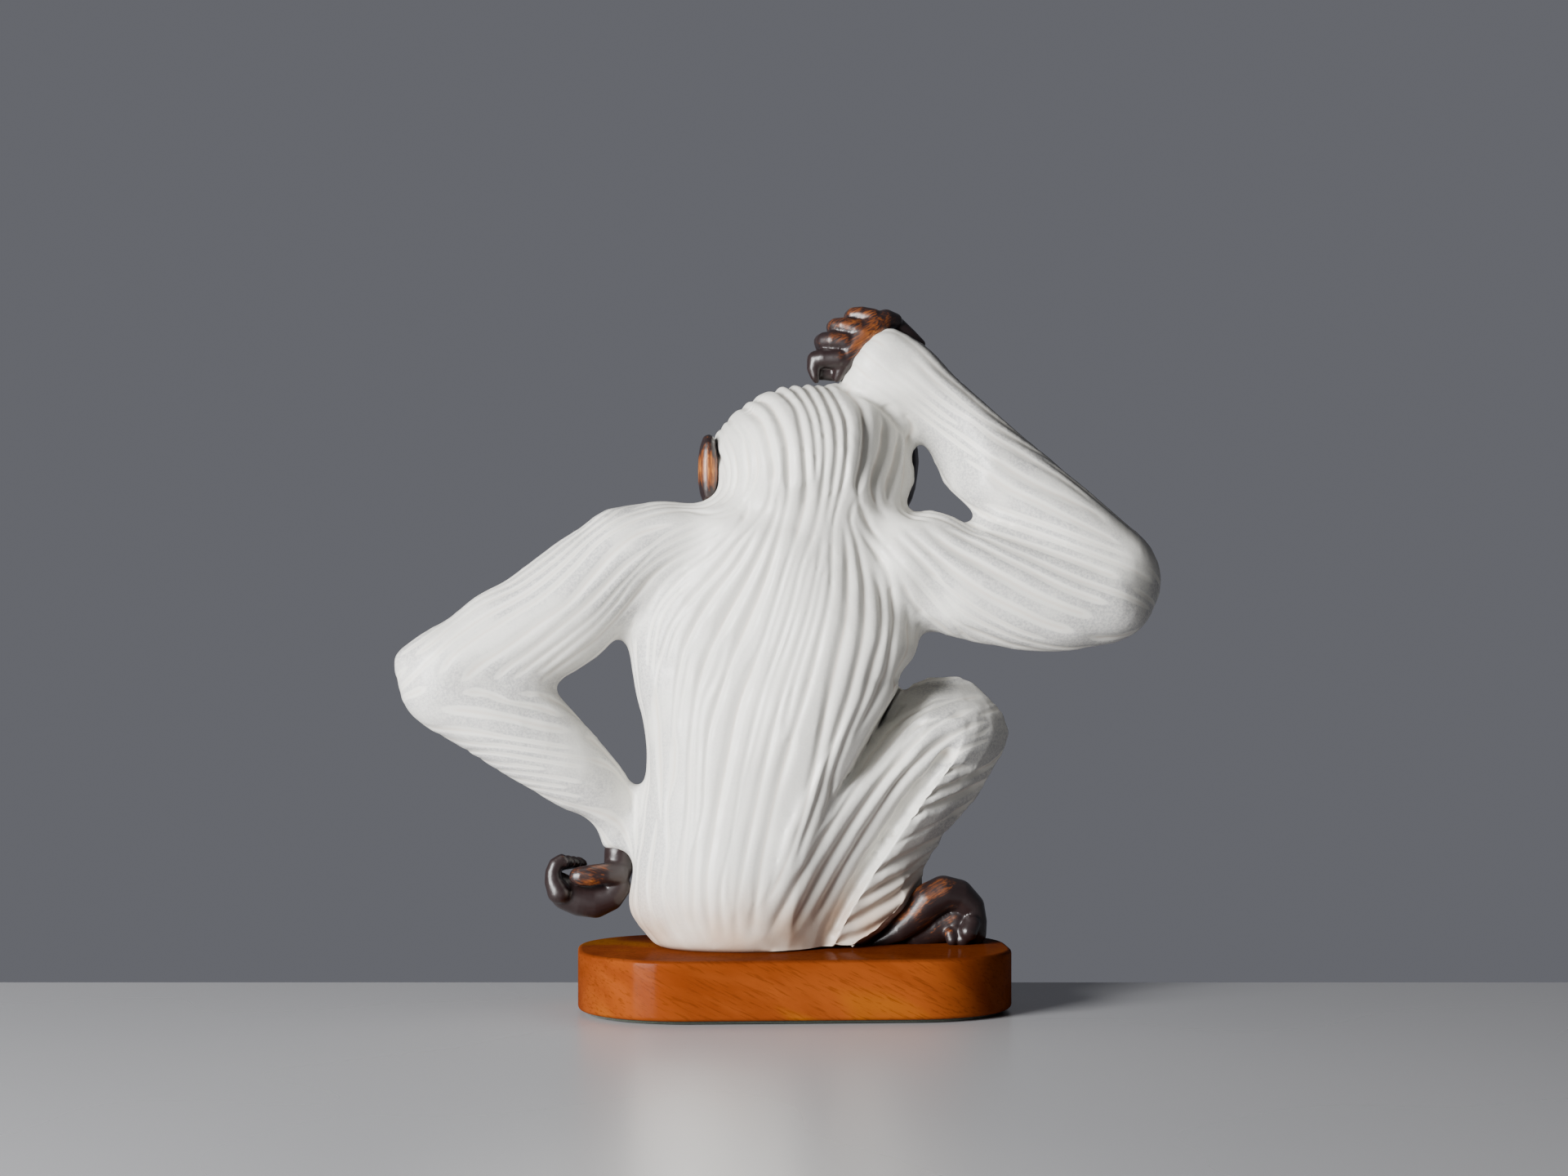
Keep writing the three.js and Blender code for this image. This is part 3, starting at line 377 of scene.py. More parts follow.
def outer_shell(bm):
    """Drops the inside of the hollow torso and closes its foot."""
    low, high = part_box("fixing_plug")
    axis = ((low + high) / 2).xy
    reach, top = (high.x - low.x) / 2 + 1.5 * MM, low.z + 9 * MM
    in_hole = [f for f in bm.faces if all((v.co.xy - axis).length < reach and v.co.z < top for v in f.verts)]
    bmesh.ops.delete(bm, geom=in_hole, context="FACES")
    start = min(bm.verts, key=lambda v: v.co.x)
    outer, front = {start}, [start]
    while front:
        v = front.pop()
        for e in v.link_edges:
            other = e.other_vert(v)
            if other not in outer:
                outer.add(other)
                front.append(other)
    bmesh.ops.delete(bm, geom=[v for v in bm.verts if v not in outer], context="VERTS")
    bmesh.ops.holes_fill(bm, edges=[e for e in bm.edges if e.is_boundary], sides=0)
    bm.normal_update()


def clay_blank(nodes, swell, *lumps):
    """Copies of the nodes, grown until they run into each other, and lumps of clay, in one mesh."""
    blanks = []
    for node in nodes:
        part = merged_copy(node)
        if node == "torso":
            outer_shell(part)
        for v in part.verts:
            v.co += v.normal * swell
        blanks.append(mesh_of(part, "blank"))
    whole = bmesh.new()
    for blank in (*blanks, *lumps):
        whole.from_mesh(blank)
        bpy.data.meshes.remove(blank)
    return mesh_of(whole, "clay")


def worked(mesh, *steps):
    """The mesh after a row of modifiers."""
    obj = bpy.data.objects.new("work", mesh)
    bpy.context.scene.collection.objects.link(obj)
    for kind, values in steps:
        modifier = obj.modifiers.new(kind.title(), kind)
        for key, value in values.items():
            setattr(modifier, key, value)
    graph = bpy.context.evaluated_depsgraph_get()
    result = bpy.data.meshes.new_from_object(obj.evaluated_get(graph))
    bpy.data.objects.remove(obj)
    bpy.data.meshes.remove(mesh)
    return result


def remesh(cell):
    return "REMESH", {"mode": "VOXEL", "voxel_size": cell}


def subdivide(levels):
    return "SUBSURF", {"levels": levels, "render_levels": levels}


def points_of(mesh, what="co"):
    data = mesh.vertices if what == "co" else mesh.vertex_normals
    values = np.empty(len(data) * 3, np.float32)
    data.foreach_get("co" if what == "co" else "vector", values)
    return values.reshape(-1, 3).astype(float)


def set_points(mesh, co):
    mesh.vertices.foreach_set("co", co.astype(np.float32).ravel())
    mesh.update()


def point_tree(points):
    tree = kdtree.KDTree(len(points))
    for i, p in enumerate(points):
        tree.insert(p, i)
    tree.balance()
    return tree


def surface_tree(mesh, co):
    return BVHTree.FromPolygons([Vector(v) for v in co], [tuple(p.vertices) for p in mesh.polygons])


def edges_of(mesh):
    pairs = np.empty(len(mesh.edges) * 2, np.int32)
    mesh.edges.foreach_get("vertices", pairs)
    return pairs.reshape(-1, 2).T


def average(values, edges):
    """Mean of each vertex's neighbours."""
    a, b = edges
    count = len(values)
    share = np.bincount(a, minlength=count) + np.bincount(b, minlength=count)
    total = [np.bincount(a, column[b], count) + np.bincount(b, column[a], count) for column in values.T]
    return np.stack(total, 1) / np.maximum(share, 1)[:, None]


def soften(mesh, rounds, pull=0.5, push=0.0):
    """Smooths a mesh; push gives back the size that the pull takes."""
    co, edges = points_of(mesh), edges_of(mesh)
    for _ in range(rounds):
        co += pull * (average(co, edges) - co)
        if push:
            co -= push * (average(co, edges) - co)
    set_points(mesh, co)


def grab(mesh, marks):
    """Pulls the clay sideways at marks of x, z, shift and reach in millimetres."""
    co = points_of(mesh)
    for x, z, dx, dz, reach in marks:
        far = ((co[:, 0] / MM - x) ** 2 + (co[:, 2] / MM - z) ** 2) / reach**2
        hold = np.clip(1 - far, 0, 1) ** 2
        co[:, 0] += hold * dx * MM
        co[:, 2] += hold * dz * MM
    set_points(mesh, co)


def seen(co):
    """Where the camera sees points on the plane through the middle: x, z in millimetres."""
    eye = np.array(EYE)
    return (eye + (co - eye) * (eye[1] / (eye[1] - co[:, 1:2])))[:, [0, 2]] / MM


def near_side(co):
    """1 on the side of the clay that the camera sees, falling to 0 on the far side."""
    far, fade = 22 * MM, 24 * MM
    return np.clip((far - co[:, 1]) / fade, 0, 1)


def turn_away(mesh, marks):
    """Turns the clay away from the camera at marks of x, z, shift and reach in millimetres."""
    co = points_of(mesh)
    near, flat = near_side(co), seen(co)
    for x, z, dy, reach in marks:
        far = ((flat - (x, z)) ** 2).sum(1) / reach**2
        co[:, 1] += np.clip(1 - far, 0, 1) ** 2 * near * dy * MM
    set_points(mesh, co)


def press(mesh, rows):
    """Presses the clay on to a relief of its near side: rows of z, then x and y across, in millimetres."""
    slope, overhang = 1.5, 6  # the relief runs on past its last column
    top, fade = 132, 8  # its upper end
    wall, skin, rounds = 8, 3, 12  # clay that moves with the near side, and smoothing of what lies deeper
    co = points_of(mesh)
    x, z = seen(co).T
    table = np.array(rows, float)[::-1]
    edge, level = [[np.interp(z, table[:, 0], column) for column in table[:, k::2].T] for k in (1, 2)]
    goal = level[-1] + slope * np.clip(x - edge[-1], 0, overhang)
    for k in reversed(range(len(edge) - 1)):
        t = np.clip((x - edge[k]) / (edge[k + 1] - edge[k]), 0, 1)
        goal = np.where(x < edge[k + 1], level[k] + t * (level[k + 1] - level[k]), goal)
    above = np.clip((z - table[-1, 0]) / 2, 0, 1)
    hold = np.clip(2 * (x - edge[0]) / (edge[1] - edge[0]), 0, 1) * np.clip((top - z) / fade, 0, 1)
    hold *= 1 - above * np.clip((edge[2] + 6 - x) / 3, 0, 1)
    tree = surface_tree(mesh, co)
    ray, y = co - np.array(EYE), co[:, 1] / MM
    front = y.copy()
    for i in np.nonzero(hold)[0]:
        hit = tree.ray_cast(Vector(EYE), Vector(ray[i]))[0]
        if hit is not None:
            front[i] = min(y[i], hit.y / MM)
    behind = y - front
    pushed = np.maximum(y, goal + np.minimum(behind, wall))
    pulled = y + (goal - front) * np.clip(1 - behind / wall, 0, 1)
    move = hold * (np.where(goal > front, pushed, pulled) - y)
    edges = edges_of(mesh)
    for _ in range(rounds):
        move = np.where(behind > skin, average(move[:, None], edges)[:, 0], move)
    co += ray * (move * MM / ray[:, 1])[:, None]
    set_points(mesh, co)


def beads(chains):
    """Strings of clay balls of x, y, z and radius in millimetres, laid close together."""
    bm = bmesh.new()
    for chain in chains:
        last = chain[0]
        for ball in chain:
            gap = math.dist(ball[:3], last[:3])
            count = max(1, math.ceil(gap / (0.3 * min(ball[3], last[3]))))
            for k in range(1, count + 1):
                x, y, z, radius = [(a + (b - a) * k / count) * MM for a, b in zip(last, ball)]
                bmesh.ops.create_icosphere(bm, subdivisions=3, radius=radius,
                                           matrix=Matrix.Translation((x, y, z)))
            last = ball
    return mesh_of(bm, "beads")


def mark_wear(mesh):
    """Keeps how far each point stands out of the clay around it, where the glaze runs thin."""
    co, normal, edges = points_of(mesh), points_of(mesh, "normal"), edges_of(mesh)
    stand = ((co - average(co, edges)) * normal).sum(1, keepdims=True)
    for _ in range(6):
        stand = average(stand, edges)
    wear = mesh.attributes.new("wear", "FLOAT", "POINT")
    wear.data.foreach_set("value", (stand[:, 0] / max(np.abs(stand).max(), 1e-9)).astype(np.float32))


def drawn(flat, step):
    """Points along a smooth line through x, z pairs in millimetres."""
    knots = np.array(flat, float).reshape(-1, 2) * MM
    along = np.concatenate([[0], np.cumsum(np.linalg.norm(np.diff(knots, axis=0), axis=1))])
    slope = np.gradient(knots, along, axis=0)
    t = np.linspace(0, along[-1], max(2, int(along[-1] / step) + 1))
    i = np.clip(np.searchsorted(along, t, side="right") - 1, 0, len(along) - 2)
    gap = (along[i + 1] - along[i])[:, None]
    u = (t - along[i])[:, None] / gap
    return ((2 * u**3 - 3 * u**2 + 1) * knots[i] + (u**3 - 2 * u**2 + u) * gap * slope[i]
            + (3 * u**2 - 2 * u**3) * knots[i + 1] + (u**3 - u**2) * gap * slope[i + 1])


def cast(tree, flat, step, side):
    """A drawn line thrown on to the figure from the camera (side -1) or from the front (side 1)."""
    found = []
    for x, z in drawn(flat, step):
        start = EYE if side < 0 else Vector((x, 0.3, z))
        hit = tree.ray_cast(start, (Vector((x, 0, z)) - start).normalized())[0]
        if hit is not None and (not found or (hit - found[-1]).length < 8 * step):
            found.append(hit)
    return found


class Coat:
    """Furrow lines on the clay: drawn ones first, then even ones that follow their run."""

    STEP = 1.0 * MM  # along a line
    CELL = 5.0 * MM  # of the grid that finds the lines near a point
    LONGEST = 300  # steps of one line
    SHORTEST = 14 * MM  # even line that is worth cutting
    STRAIGHT = 0.8  # cosine of the sharpest turn of one step
    HEM = 1.5 * MM  # left plain above the foot

    def __init__(self, mesh):
        self.co, self.normal, self.edges = points_of(mesh), points_of(mesh, "normal"), edges_of(mesh)
        self.tree, self.near = surface_tree(mesh, self.co), point_tree(self.co)
        self.lines, self.grid = [], {}
        self.floor = self.co[:, 2].min()

    def key(self, p):
        return tuple(int(math.floor(x / self.CELL)) for x in p)

    def mark(self, points, number):
        for p in points:
            self.grid.setdefault(self.key(p), []).append((p, number))

    def add(self, points, share):
        self.mark(points, len(self.lines))
        self.lines.append((points, share))

    def crowded(self, p, limit, own=-1):
        """True where another line runs closer than the limit."""
        i, j, k = self.key(p)
        for a in (i - 1, i, i + 1):
            for b in (j - 1, j, j + 1):
                for c in (k - 1, k, k + 1):
                    for q, number in self.grid.get((a, b, c), ()):
                        if number != own and (q - p).length < limit:
                            return True
        return False

    def comb(self, strokes):
        """Direction of the coat at each vertex, spread out from the drawn strokes."""
        samples = [(p, (q - p).normalized()) for line in strokes for p, q in zip(line, line[1:])]
        near = point_tree([p for p, _ in samples])
        way = np.array([t for _, t in samples])
        count, blur, grip, rounds = 8, 2 * MM, 4 * MM, 80
        start = np.zeros((len(self.co), 6))
        hold = np.zeros((len(self.co), 1))
        for i, v in enumerate(self.co):
            for _, s, distance in near.find_n(v, count):
                x, y, z = way[s]
                weight = 1 / (distance**2 + blur**2)
                start[i] += weight * np.array((x * x, y * y, z * z, x * y, y * z, z * x))
            hold[i] = math.exp(-(near.find(v)[2] / grip)**2)
        start /= start[:, :3].sum(1, keepdims=True)
        field = start.copy()
        for _ in range(rounds):
            field = hold * start + (1 - hold) * average(field, self.edges)
        full = field[:, [0, 3, 5, 3, 1, 4, 5, 4, 2]].reshape(-1, 3, 3)
        flat = np.eye(3) - self.normal[:, :, None] * self.normal[:, None, :]
        self.way = np.linalg.eigh(flat @ full @ flat)[1][:, :, 2]

    def follow(self, start, way, limit, own=-1):
        """Walks along the coat from a point until the line runs into another or off the clay."""
        points, p, way = [], start, way.normalized()
        while len(points) < self.LONGEST:
            hit, normal, _, distance = self.tree.find_nearest(p + way * self.STEP)
            if hit is None or distance > self.STEP or hit.z < self.floor + self.HEM:
                break
            i = self.near.find(hit)[1]
            turn = Vector(self.way[i])
            turn = turn if turn.dot(way) > 0 else -turn
            if turn.dot(way) < self.STRAIGHT or self.crowded(hit, limit, own):
                break
            p, way = hit, (way + turn).normalized()
            points.append(p)
        return points

    def facing(self, p):
        """How far the clay at a point turns to the camera behind the figure."""
        return -self.normal[self.near.find(p)[1]][1]

    def run_on(self, spacing):
        """Carries the drawn lines on round the sides of the figure."""
        for number, (points, share) in enumerate(list(self.lines)):
            for end, inner in ((points[-1], points[-3:][0]), (points[0], points[:3][-1])):
                if self.facing(end) < 0.6:
                    more = self.follow(end, end - inner, spacing * 0.5, number)
                    if len(more) > 3:
                        self.mark(more, number)
                        kept = self.lines[number][0]
                        kept = kept + more if end is points[-1] else more[::-1] + kept
                        self.lines[number] = (kept, share)

    def fill(self, spacing, share):
        """Even lines over the sides and the front, each seeded a spacing away from an earlier one."""
        slice_depth, every, room, stop = 4 * MM, 40, 0.9 * spacing, 0.55 * spacing
        order = sorted(range(len(self.co)), key=lambda i: (round(self.co[i][1] / slice_depth), self.co[i][2]))
        queue = [p for line, _ in self.lines for p in line[::3]]
        queue += [Vector(self.co[i]) for i in order[::every]]
        while queue:
            p = queue.pop(0)
            i = self.near.find(p)[1]
            side = Vector(self.normal[i]).cross(Vector(self.way[i])).normalized()
            for sign in (1, -1):
                seed = self.tree.find_nearest(p + side * sign * spacing)[0]
                plain = seed.z < self.floor + 2 * MM or self.facing(seed) > 0.35
                if plain or self.crowded(seed, room):
                    continue
                way = Vector(self.way[self.near.find(seed)[1]])
                line = self.follow(seed, -way, stop)[::-1] + [seed] + self.follow(seed, way, stop)
                if len(line) * self.STEP > self.SHORTEST:
                    self.add(line, share)
                    queue += line[::3]


def groove_points(lines, widest, run_out=9 * MM):
    """Place, direction, depth share and half width of every groove along its length."""
    narrowest, of_gap, neighbours = 1.1 * MM, 0.52, 26
    place, way, share, owner = [], [], [], []
    for number, (line, strength) in enumerate(lines):
        count = len(line)
        for k, p in enumerate(line):
            ahead = line[min(k + 1, count - 1)] - line[max(k - 1, 0)]
            taper = min(1.0, min(k + 0.5, count - k - 0.5) * Coat.STEP / run_out) ** 0.7
            drift = 0.85 + 0.3 * noise.noise(p * 60)
            place.append(p)
            way.append(ahead.normalized())
            share.append(strength * taper * drift)
            owner.append(number)
    near = point_tree(place)
    half = []
    for i, p in enumerate(place):
        gaps = [d for _, j, d in near.find_n(p, neighbours) if owner[j] != owner[i]]
        half.append(min(widest, max(narrowest, of_gap * min(gaps, default=1.0))))
    half = np.array(half)
    for _ in range(4):
        half[1:-1] = (half[:-2] + half[1:-1] * 2 + half[2:]) / 4
    return near, np.array(place), np.array(way), np.array(share), half


def coat_depth(co):
    """Depth of the furrows at points of the figure, in metres."""
    table = np.array(COAT_DEPTH)
    blur, fall = 4, 1.6
    gap = co[:, None, [0, 2]] / MM - table[None, :, :2]
    weight = 1 / ((gap**2).sum(2) + blur) ** fall
    return (weight @ table[:, 2]) / weight.sum(1) * MM


def carve(mesh, lines, depth, widest, run_out=9 * MM):
    """Presses grooves into the fine clay and gives back where they are, for the glaze."""
    bottom = 0.25 * MM  # half width of a groove's round bottom
    cover = 1.2 * MM  # half length of groove that one point stands for
    full = 2.5 * MM  # half width from which a groove has its full depth
    co, normal = points_of(mesh), points_of(mesh, "normal")
    near, place, way, share, half = groove_points(lines, widest, run_out)
    index = np.array([near.find(v)[1] for v in co])
    gap = co - place[index]
    gap -= normal * (gap * normal).sum(1, keepdims=True)
    along = (gap * way[index]).sum(1, keepdims=True)
    gap = np.linalg.norm(np.where(np.abs(along) < cover, gap - along * way[index], gap), axis=1)
    u = np.clip(np.sqrt(gap**2 + bottom**2) / half[index], 0, 1)
    valley = 0.45 * (1 - u) ** 2 + 0.55 * (1 - 3 * u**2 + 2 * u**3)
    cut = valley * share[index] * np.minimum(half[index] / full, 1.2) ** 0.8
    co -= normal * (cut * depth(co))[:, None]
    set_points(mesh, co)
    return (1 - u) * np.clip(share[index] * 1.5, 0, 1)


def nearest_node(mesh, nodes):
    """Number of the node that each face lies on."""
    trees = []
    for node in nodes:
        bm = merged_copy(node)
        trees.append(BVHTree.FromBMesh(bm))
        bm.free()
    return [min(range(len(trees)), key=lambda k: trees[k].find_nearest(p.center)[3]) for p in mesh.polygons]


def part_leg(mesh, labels):
    """Parts the leg from the torso along the fold of the relief, on the side that the camera sees."""
    labels, middle = np.array(labels), np.array([p.center for p in mesh.polygons])
    x, z = seen(middle).T
    table = np.array(LEG_RELIEF, float)[::-1]
    fold, far = table[:, 5], 6 * MM
    torso, leg = WHITE_NODES.index("torso"), WHITE_NODES.index("right_leg")
    either = np.isin(labels, (torso, leg)) & (middle[:, 1] < far) & (z < table[-1, 0])
    labels[either] = np.where(x > np.interp(z, table[:, 0], fold), leg, torso)[either]
    return labels


def split(mesh, number):
    """The faces with one number as a closed mesh that keeps the whole figure's shading."""
    bm = bmesh.new()
    bm.from_mesh(mesh)
    bmesh.ops.delete(bm, geom=[f for f in bm.faces if f.material_index != number], context="FACES")
    rim = [e for e in bm.edges if e.is_boundary]
    caps = bmesh.ops.holes_fill(bm, edges=rim, sides=0)["faces"]
    bmesh.ops.poke(bm, faces=caps)
    for f in bm.faces:
        f.material_index = 0
        f.smooth = True
    part = mesh_of(bm, "part")
    kept = np.empty(len(part.vertices) * 3, np.float32)
    part.attributes["whole_normal"].data.foreach_get("vector", kept)
    kept = kept.reshape(-1, 3)
    own = points_of(part, "normal")
    lost = np.linalg.norm(kept, axis=1) < 0.5
    kept[lost] = own[lost]
    part.normals_split_custom_set_from_vertices([tuple(v) for v in kept])
    part.attributes.remove(part.attributes["whole_normal"])
    return part


class Finish:
    """A node material under construction."""

    def __init__(self, name, **shader):
        self.material = bpy.data.materials.new(name)
        self.material.use_nodes = True
        self.tree = self.material.node_tree
        self.shader = self.tree.nodes["Principled BSDF"]
        self.place = self.add("ShaderNodeTexCoord").outputs["Object"]
        for key, value in shader.items():
            self.shader.inputs[key.replace("_", " ")].default_value = value

    def add(self, kind, inputs=(), **values):
        node = self.tree.nodes.new(kind)
        for key, value in values.items():
            setattr(node, key, value)
        for key, value in dict(inputs).items():
            self.feed(node.inputs[key], value)
        return node

    def feed(self, socket, value):
        if isinstance(value, bpy.types.NodeSocket):
            self.tree.links.new(value, socket)
        else:
            socket.default_value = value

    def noise(self, scale, detail=2.0, rough=0.5, twist=0.0, place=None):
        values = {"Vector": place or self.place, "Scale": scale, "Detail": detail, "Roughness": rough,
                  "Distortion": twist}
        return self.add("ShaderNodeTexNoise", values).outputs["Fac"]

    def turned(self, rotation, scale=(1, 1, 1), place=None):
        first = self.add("ShaderNodeMapping", {"Vector": place or self.place, "Rotation": rotation})
        return self.add("ShaderNodeMapping", {"Vector": first.outputs[0], "Scale": scale}).outputs[0]

    def between(self, value, low, high, start=0.0, end=1.0):
        values = {"Value": value, "From Min": low, "From Max": high, "To Min": start, "To Max": end}
        return self.add("ShaderNodeMapRange", values, interpolation_type="SMOOTHSTEP").outputs["Result"]

    def math(self, operation, a, b):
        return self.add("ShaderNodeMath", {0: a, 1: b}, operation=operation).outputs[0]

    def mix(self, share, a, b):
        node = self.add("ShaderNodeMix", {0: share, 6: a, 7: b}, data_type="RGBA")
        return node.outputs[2]

    def attribute(self, name):
        return self.add("ShaderNodeAttribute", attribute_name=name).outputs["Fac"]

    def along(self, axis):
        return self.add("ShaderNodeSeparateXYZ", {0: self.place}).outputs[axis]

    def bump(self, height, distance, strength=1.0):
        values = {"Height": height, "Distance": distance, "Strength": strength}
        self.feed(self.shader.inputs["Normal"], self.add("ShaderNodeBump", values).outputs[0])

    def finish(self, colour, rough):
        self.feed(self.shader.inputs["Base Color"], colour)
        self.feed(self.shader.inputs["Roughness"], rough)
        return self.material


def rgba(colour):
    return (*colour, 1.0)


def white_glaze():
    """Satin white glaze: pooled white in the furrows with painted warm shade along their bottoms, mottled
    grey on the ridges, and warm at the foot from its own blush and painted bounce light.
    """
    g = Finish("white_glaze", IOR=1.5)
    stone = settings().stoneware
    furrow = g.attribute("furrow")
    limbs = g.between(g.math("ABSOLUTE", g.along("X"), 0.0), 0.036, 0.06, 0.25, 1.0)
    speck = g.between(g.noise(1100, 4, 0.7), 0.38, 0.62, 0.4, 1.0)
    patch = g.between(g.noise(40, 3), 0.34, 0.56, 0.25, 1.0)
    ridge = g.between(furrow, 0.55, 0.3)
    grey = g.math("MULTIPLY", g.math("MULTIPLY", speck, ridge), g.math("MULTIPLY", patch, limbs))
    colour = g.mix(grey, rgba(stone.white), rgba(stone.grey))
    # Painted shade: the bottoms of the furrows are mixed towards the warm colour.
    colour = g.mix(g.between(furrow, 0.7, 1.0, 0.0, 0.35), colour, rgba(stone.blush_and_painted_light))
    # Warm at the foot: partly the glaze's own blush, partly painted warm bounce light from the plinth.
    hem = g.between(g.along("Z"), 0.058, 0.027)
    foot = g.math("MULTIPLY", hem, g.between(g.noise(60, 2), 0.3, 0.7, 0.6, 1.0))
    colour = g.mix(foot, colour, rgba(stone.blush_and_painted_light))
    g.bump(g.noise(700, 3), 0.00012, 0.35)
    return g.finish(colour, g.between(g.noise(160, 3), 0.3, 0.7, 0.36, 0.5))


def brown_glaze(name, way, rust, heart, reach):
    """Glossy dark brown glaze that breaks to rust and amber in brush strokes round the heart of a piece."""
    g = Finish(name, IOR=1.5, Coat_Weight=0.1, Coat_Roughness=0.2)
    stone = settings().stoneware
    turn = tuple(Vector(way).rotation_difference(Vector((0, 0, 1))).to_euler())
    fine = g.noise(1500, 4, 0.65, 0.2, g.turned(turn, (1, 1, 0.1)))
    broad = g.noise(150, 3, 0.55, 0.6, g.turned(turn, (1, 1, 0.35)))
    middle = g.add("ShaderNodeVectorMath", {0: g.place, 1: Vector(heart) * MM}, operation="DISTANCE")
    thin = g.between(middle.outputs["Value"], reach * 0.3 * MM, reach * MM, 0.06, -0.2)
    wear = g.math("MULTIPLY", g.attribute("wear"), 0.2)
    worn = g.math("ADD", g.math("MULTIPLY", fine, 0.6), g.math("MULTIPLY", broad, 0.6))
    worn = g.math("ADD", worn, g.math("ADD", wear, thin))
    first = g.mix(g.between(worn, 0.58 - rust, 0.74 - rust), rgba(stone.dark), rgba(stone.rust))
    colour = g.mix(g.between(worn, 0.72 - rust, 0.86 - rust), first, rgba(stone.amber))
    g.bump(fine, 0.00015, 0.35)
    return g.finish(colour, g.between(broad, 0.3, 0.7, 0.3, 0.46))


def lacquered_wood():
    """Orange-brown board under clear lacquer, with slanting figure, short dark pores and painted shade on its
    top and left end.
    """
    g = Finish("lacquered_wood", Specular_IOR_Level=0.0, Coat_Weight=0.06, Coat_Roughness=0.12)
    wood = settings().plinth
    slant = (0, math.radians(-27), 0)
    figure = g.noise(26, 4, 0.55, 0.8, g.turned(slant, (0.35, 1, 1.6)))
    flame = g.noise(30, 2, 0.5, 0.5, g.turned((0, math.radians(-34), 0), (0.25, 0.6, 1.3)))
    fleck = g.noise(1300, 3, 0.6, 0.15, g.turned(slant, (0.09, 0.4, 1)))
    pore = g.between(fleck, 0.52, 0.66)
    colour = g.mix(g.between(figure, 0.34, 0.66), rgba(wood.dark), rgba(wood.light))
    colour = g.mix(g.between(flame, 0.56, 0.72, 0.0, 0.8), colour, rgba(wood.gold))
    colour = g.mix(g.math("MULTIPLY", pore, 0.45), colour, rgba(wood.pore))
    # Painted shade: the left end and the top are mixed towards a darker colour.
    left_end_shade = g.between(g.along("X"), -0.04, -0.11, 0.0, 0.42)
    top = g.between(g.along("Z"), 0.0216, 0.0226, 0.0, 0.36)
    colour = g.mix(g.math("MAXIMUM", left_end_shade, top), colour, rgba(wood.painted_shade))
    g.bump(pore, 0.00012, 0.15)
    return g.finish(colour, g.between(figure, 0.3, 0.7, 0.3, 0.42))


def felt_cloth():
    g = Finish("green_felt", Sheen_Weight=0.4)
    fuzz = g.noise(2600, 4, 0.7)
    colour = g.mix(g.between(fuzz, 0.35, 0.7), (0.018, 0.024, 0.016, 1), (0.05, 0.062, 0.042, 1))
    g.bump(fuzz, 0.0003, 0.8)
    return g.finish(colour, g.between(fuzz, 0.3, 0.7, 0.9, 1.0))


def zinc_plate():
    g = Finish("zinc_plate", Metallic=1.0)
    cloud = g.noise(300, 3)
    colour = g.mix(cloud, (0.55, 0.54, 0.5, 1), (0.72, 0.7, 0.62, 1))
    return g.finish(colour, g.between(cloud, 0.3, 0.7, 0.28, 0.45))


def plain_wood():
    g = Finish("plain_wood")
    grain = g.noise(350, 4, 0.6, 0.3, g.turned((0, 0, 0), (1, 1, 0.08)))
    colour = g.mix(g.between(grain, 0.3, 0.7), (0.36, 0.22, 0.11, 1), (0.62, 0.45, 0.27, 1))
    g.bump(grain, 0.0002, 0.4)
    return g.finish(colour, g.between(grain, 0.3, 0.7, 0.55, 0.7))


def worked_smooth(mesh, cell, rounds):
    """A brown piece: clay in fine cells, smoothed and marked where its glaze runs thin."""
    mesh = worked(mesh, remesh(cell))
    soften(mesh, rounds, push=0.5)
    mesh = worked(mesh, subdivide(1))
    for p in mesh.polygons:
        p.use_smooth = True
    mark_wear(mesh)
    return mesh


def plinth_board():
    """Board with round corners and softened arrises, in the space of the plinth's node."""
    low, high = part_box("plinth")
    sizes = settings().plinth
    bm = bmesh.new()
    bmesh.ops.create_cube(bm, size=1, matrix=Matrix.LocRotScale((low + high) / 2, None, high - low))
    upright = [e for e in bm.edges if abs(e.verts[0].co.z - e.verts[1].co.z) > 1 * MM]
    bmesh.ops.bevel(bm, geom=upright, offset=sizes.corner, affect="EDGES", segments=24, profile=0.5,
                    material=-1)
    bm.normal_update()
    rim = [e for e in bm.edges if {abs(f.normal.z) > 0.9 for f in e.link_faces} == {True, False}]
    bmesh.ops.bevel(bm, geom=rim, offset=sizes.arris, affect="EDGES", segments=5, profile=0.5, material=-1)
    mesh = mesh_of(bm, "board")
    for p in mesh.polygons:
        p.use_smooth = abs(p.normal.z) < 0.999
    return mesh


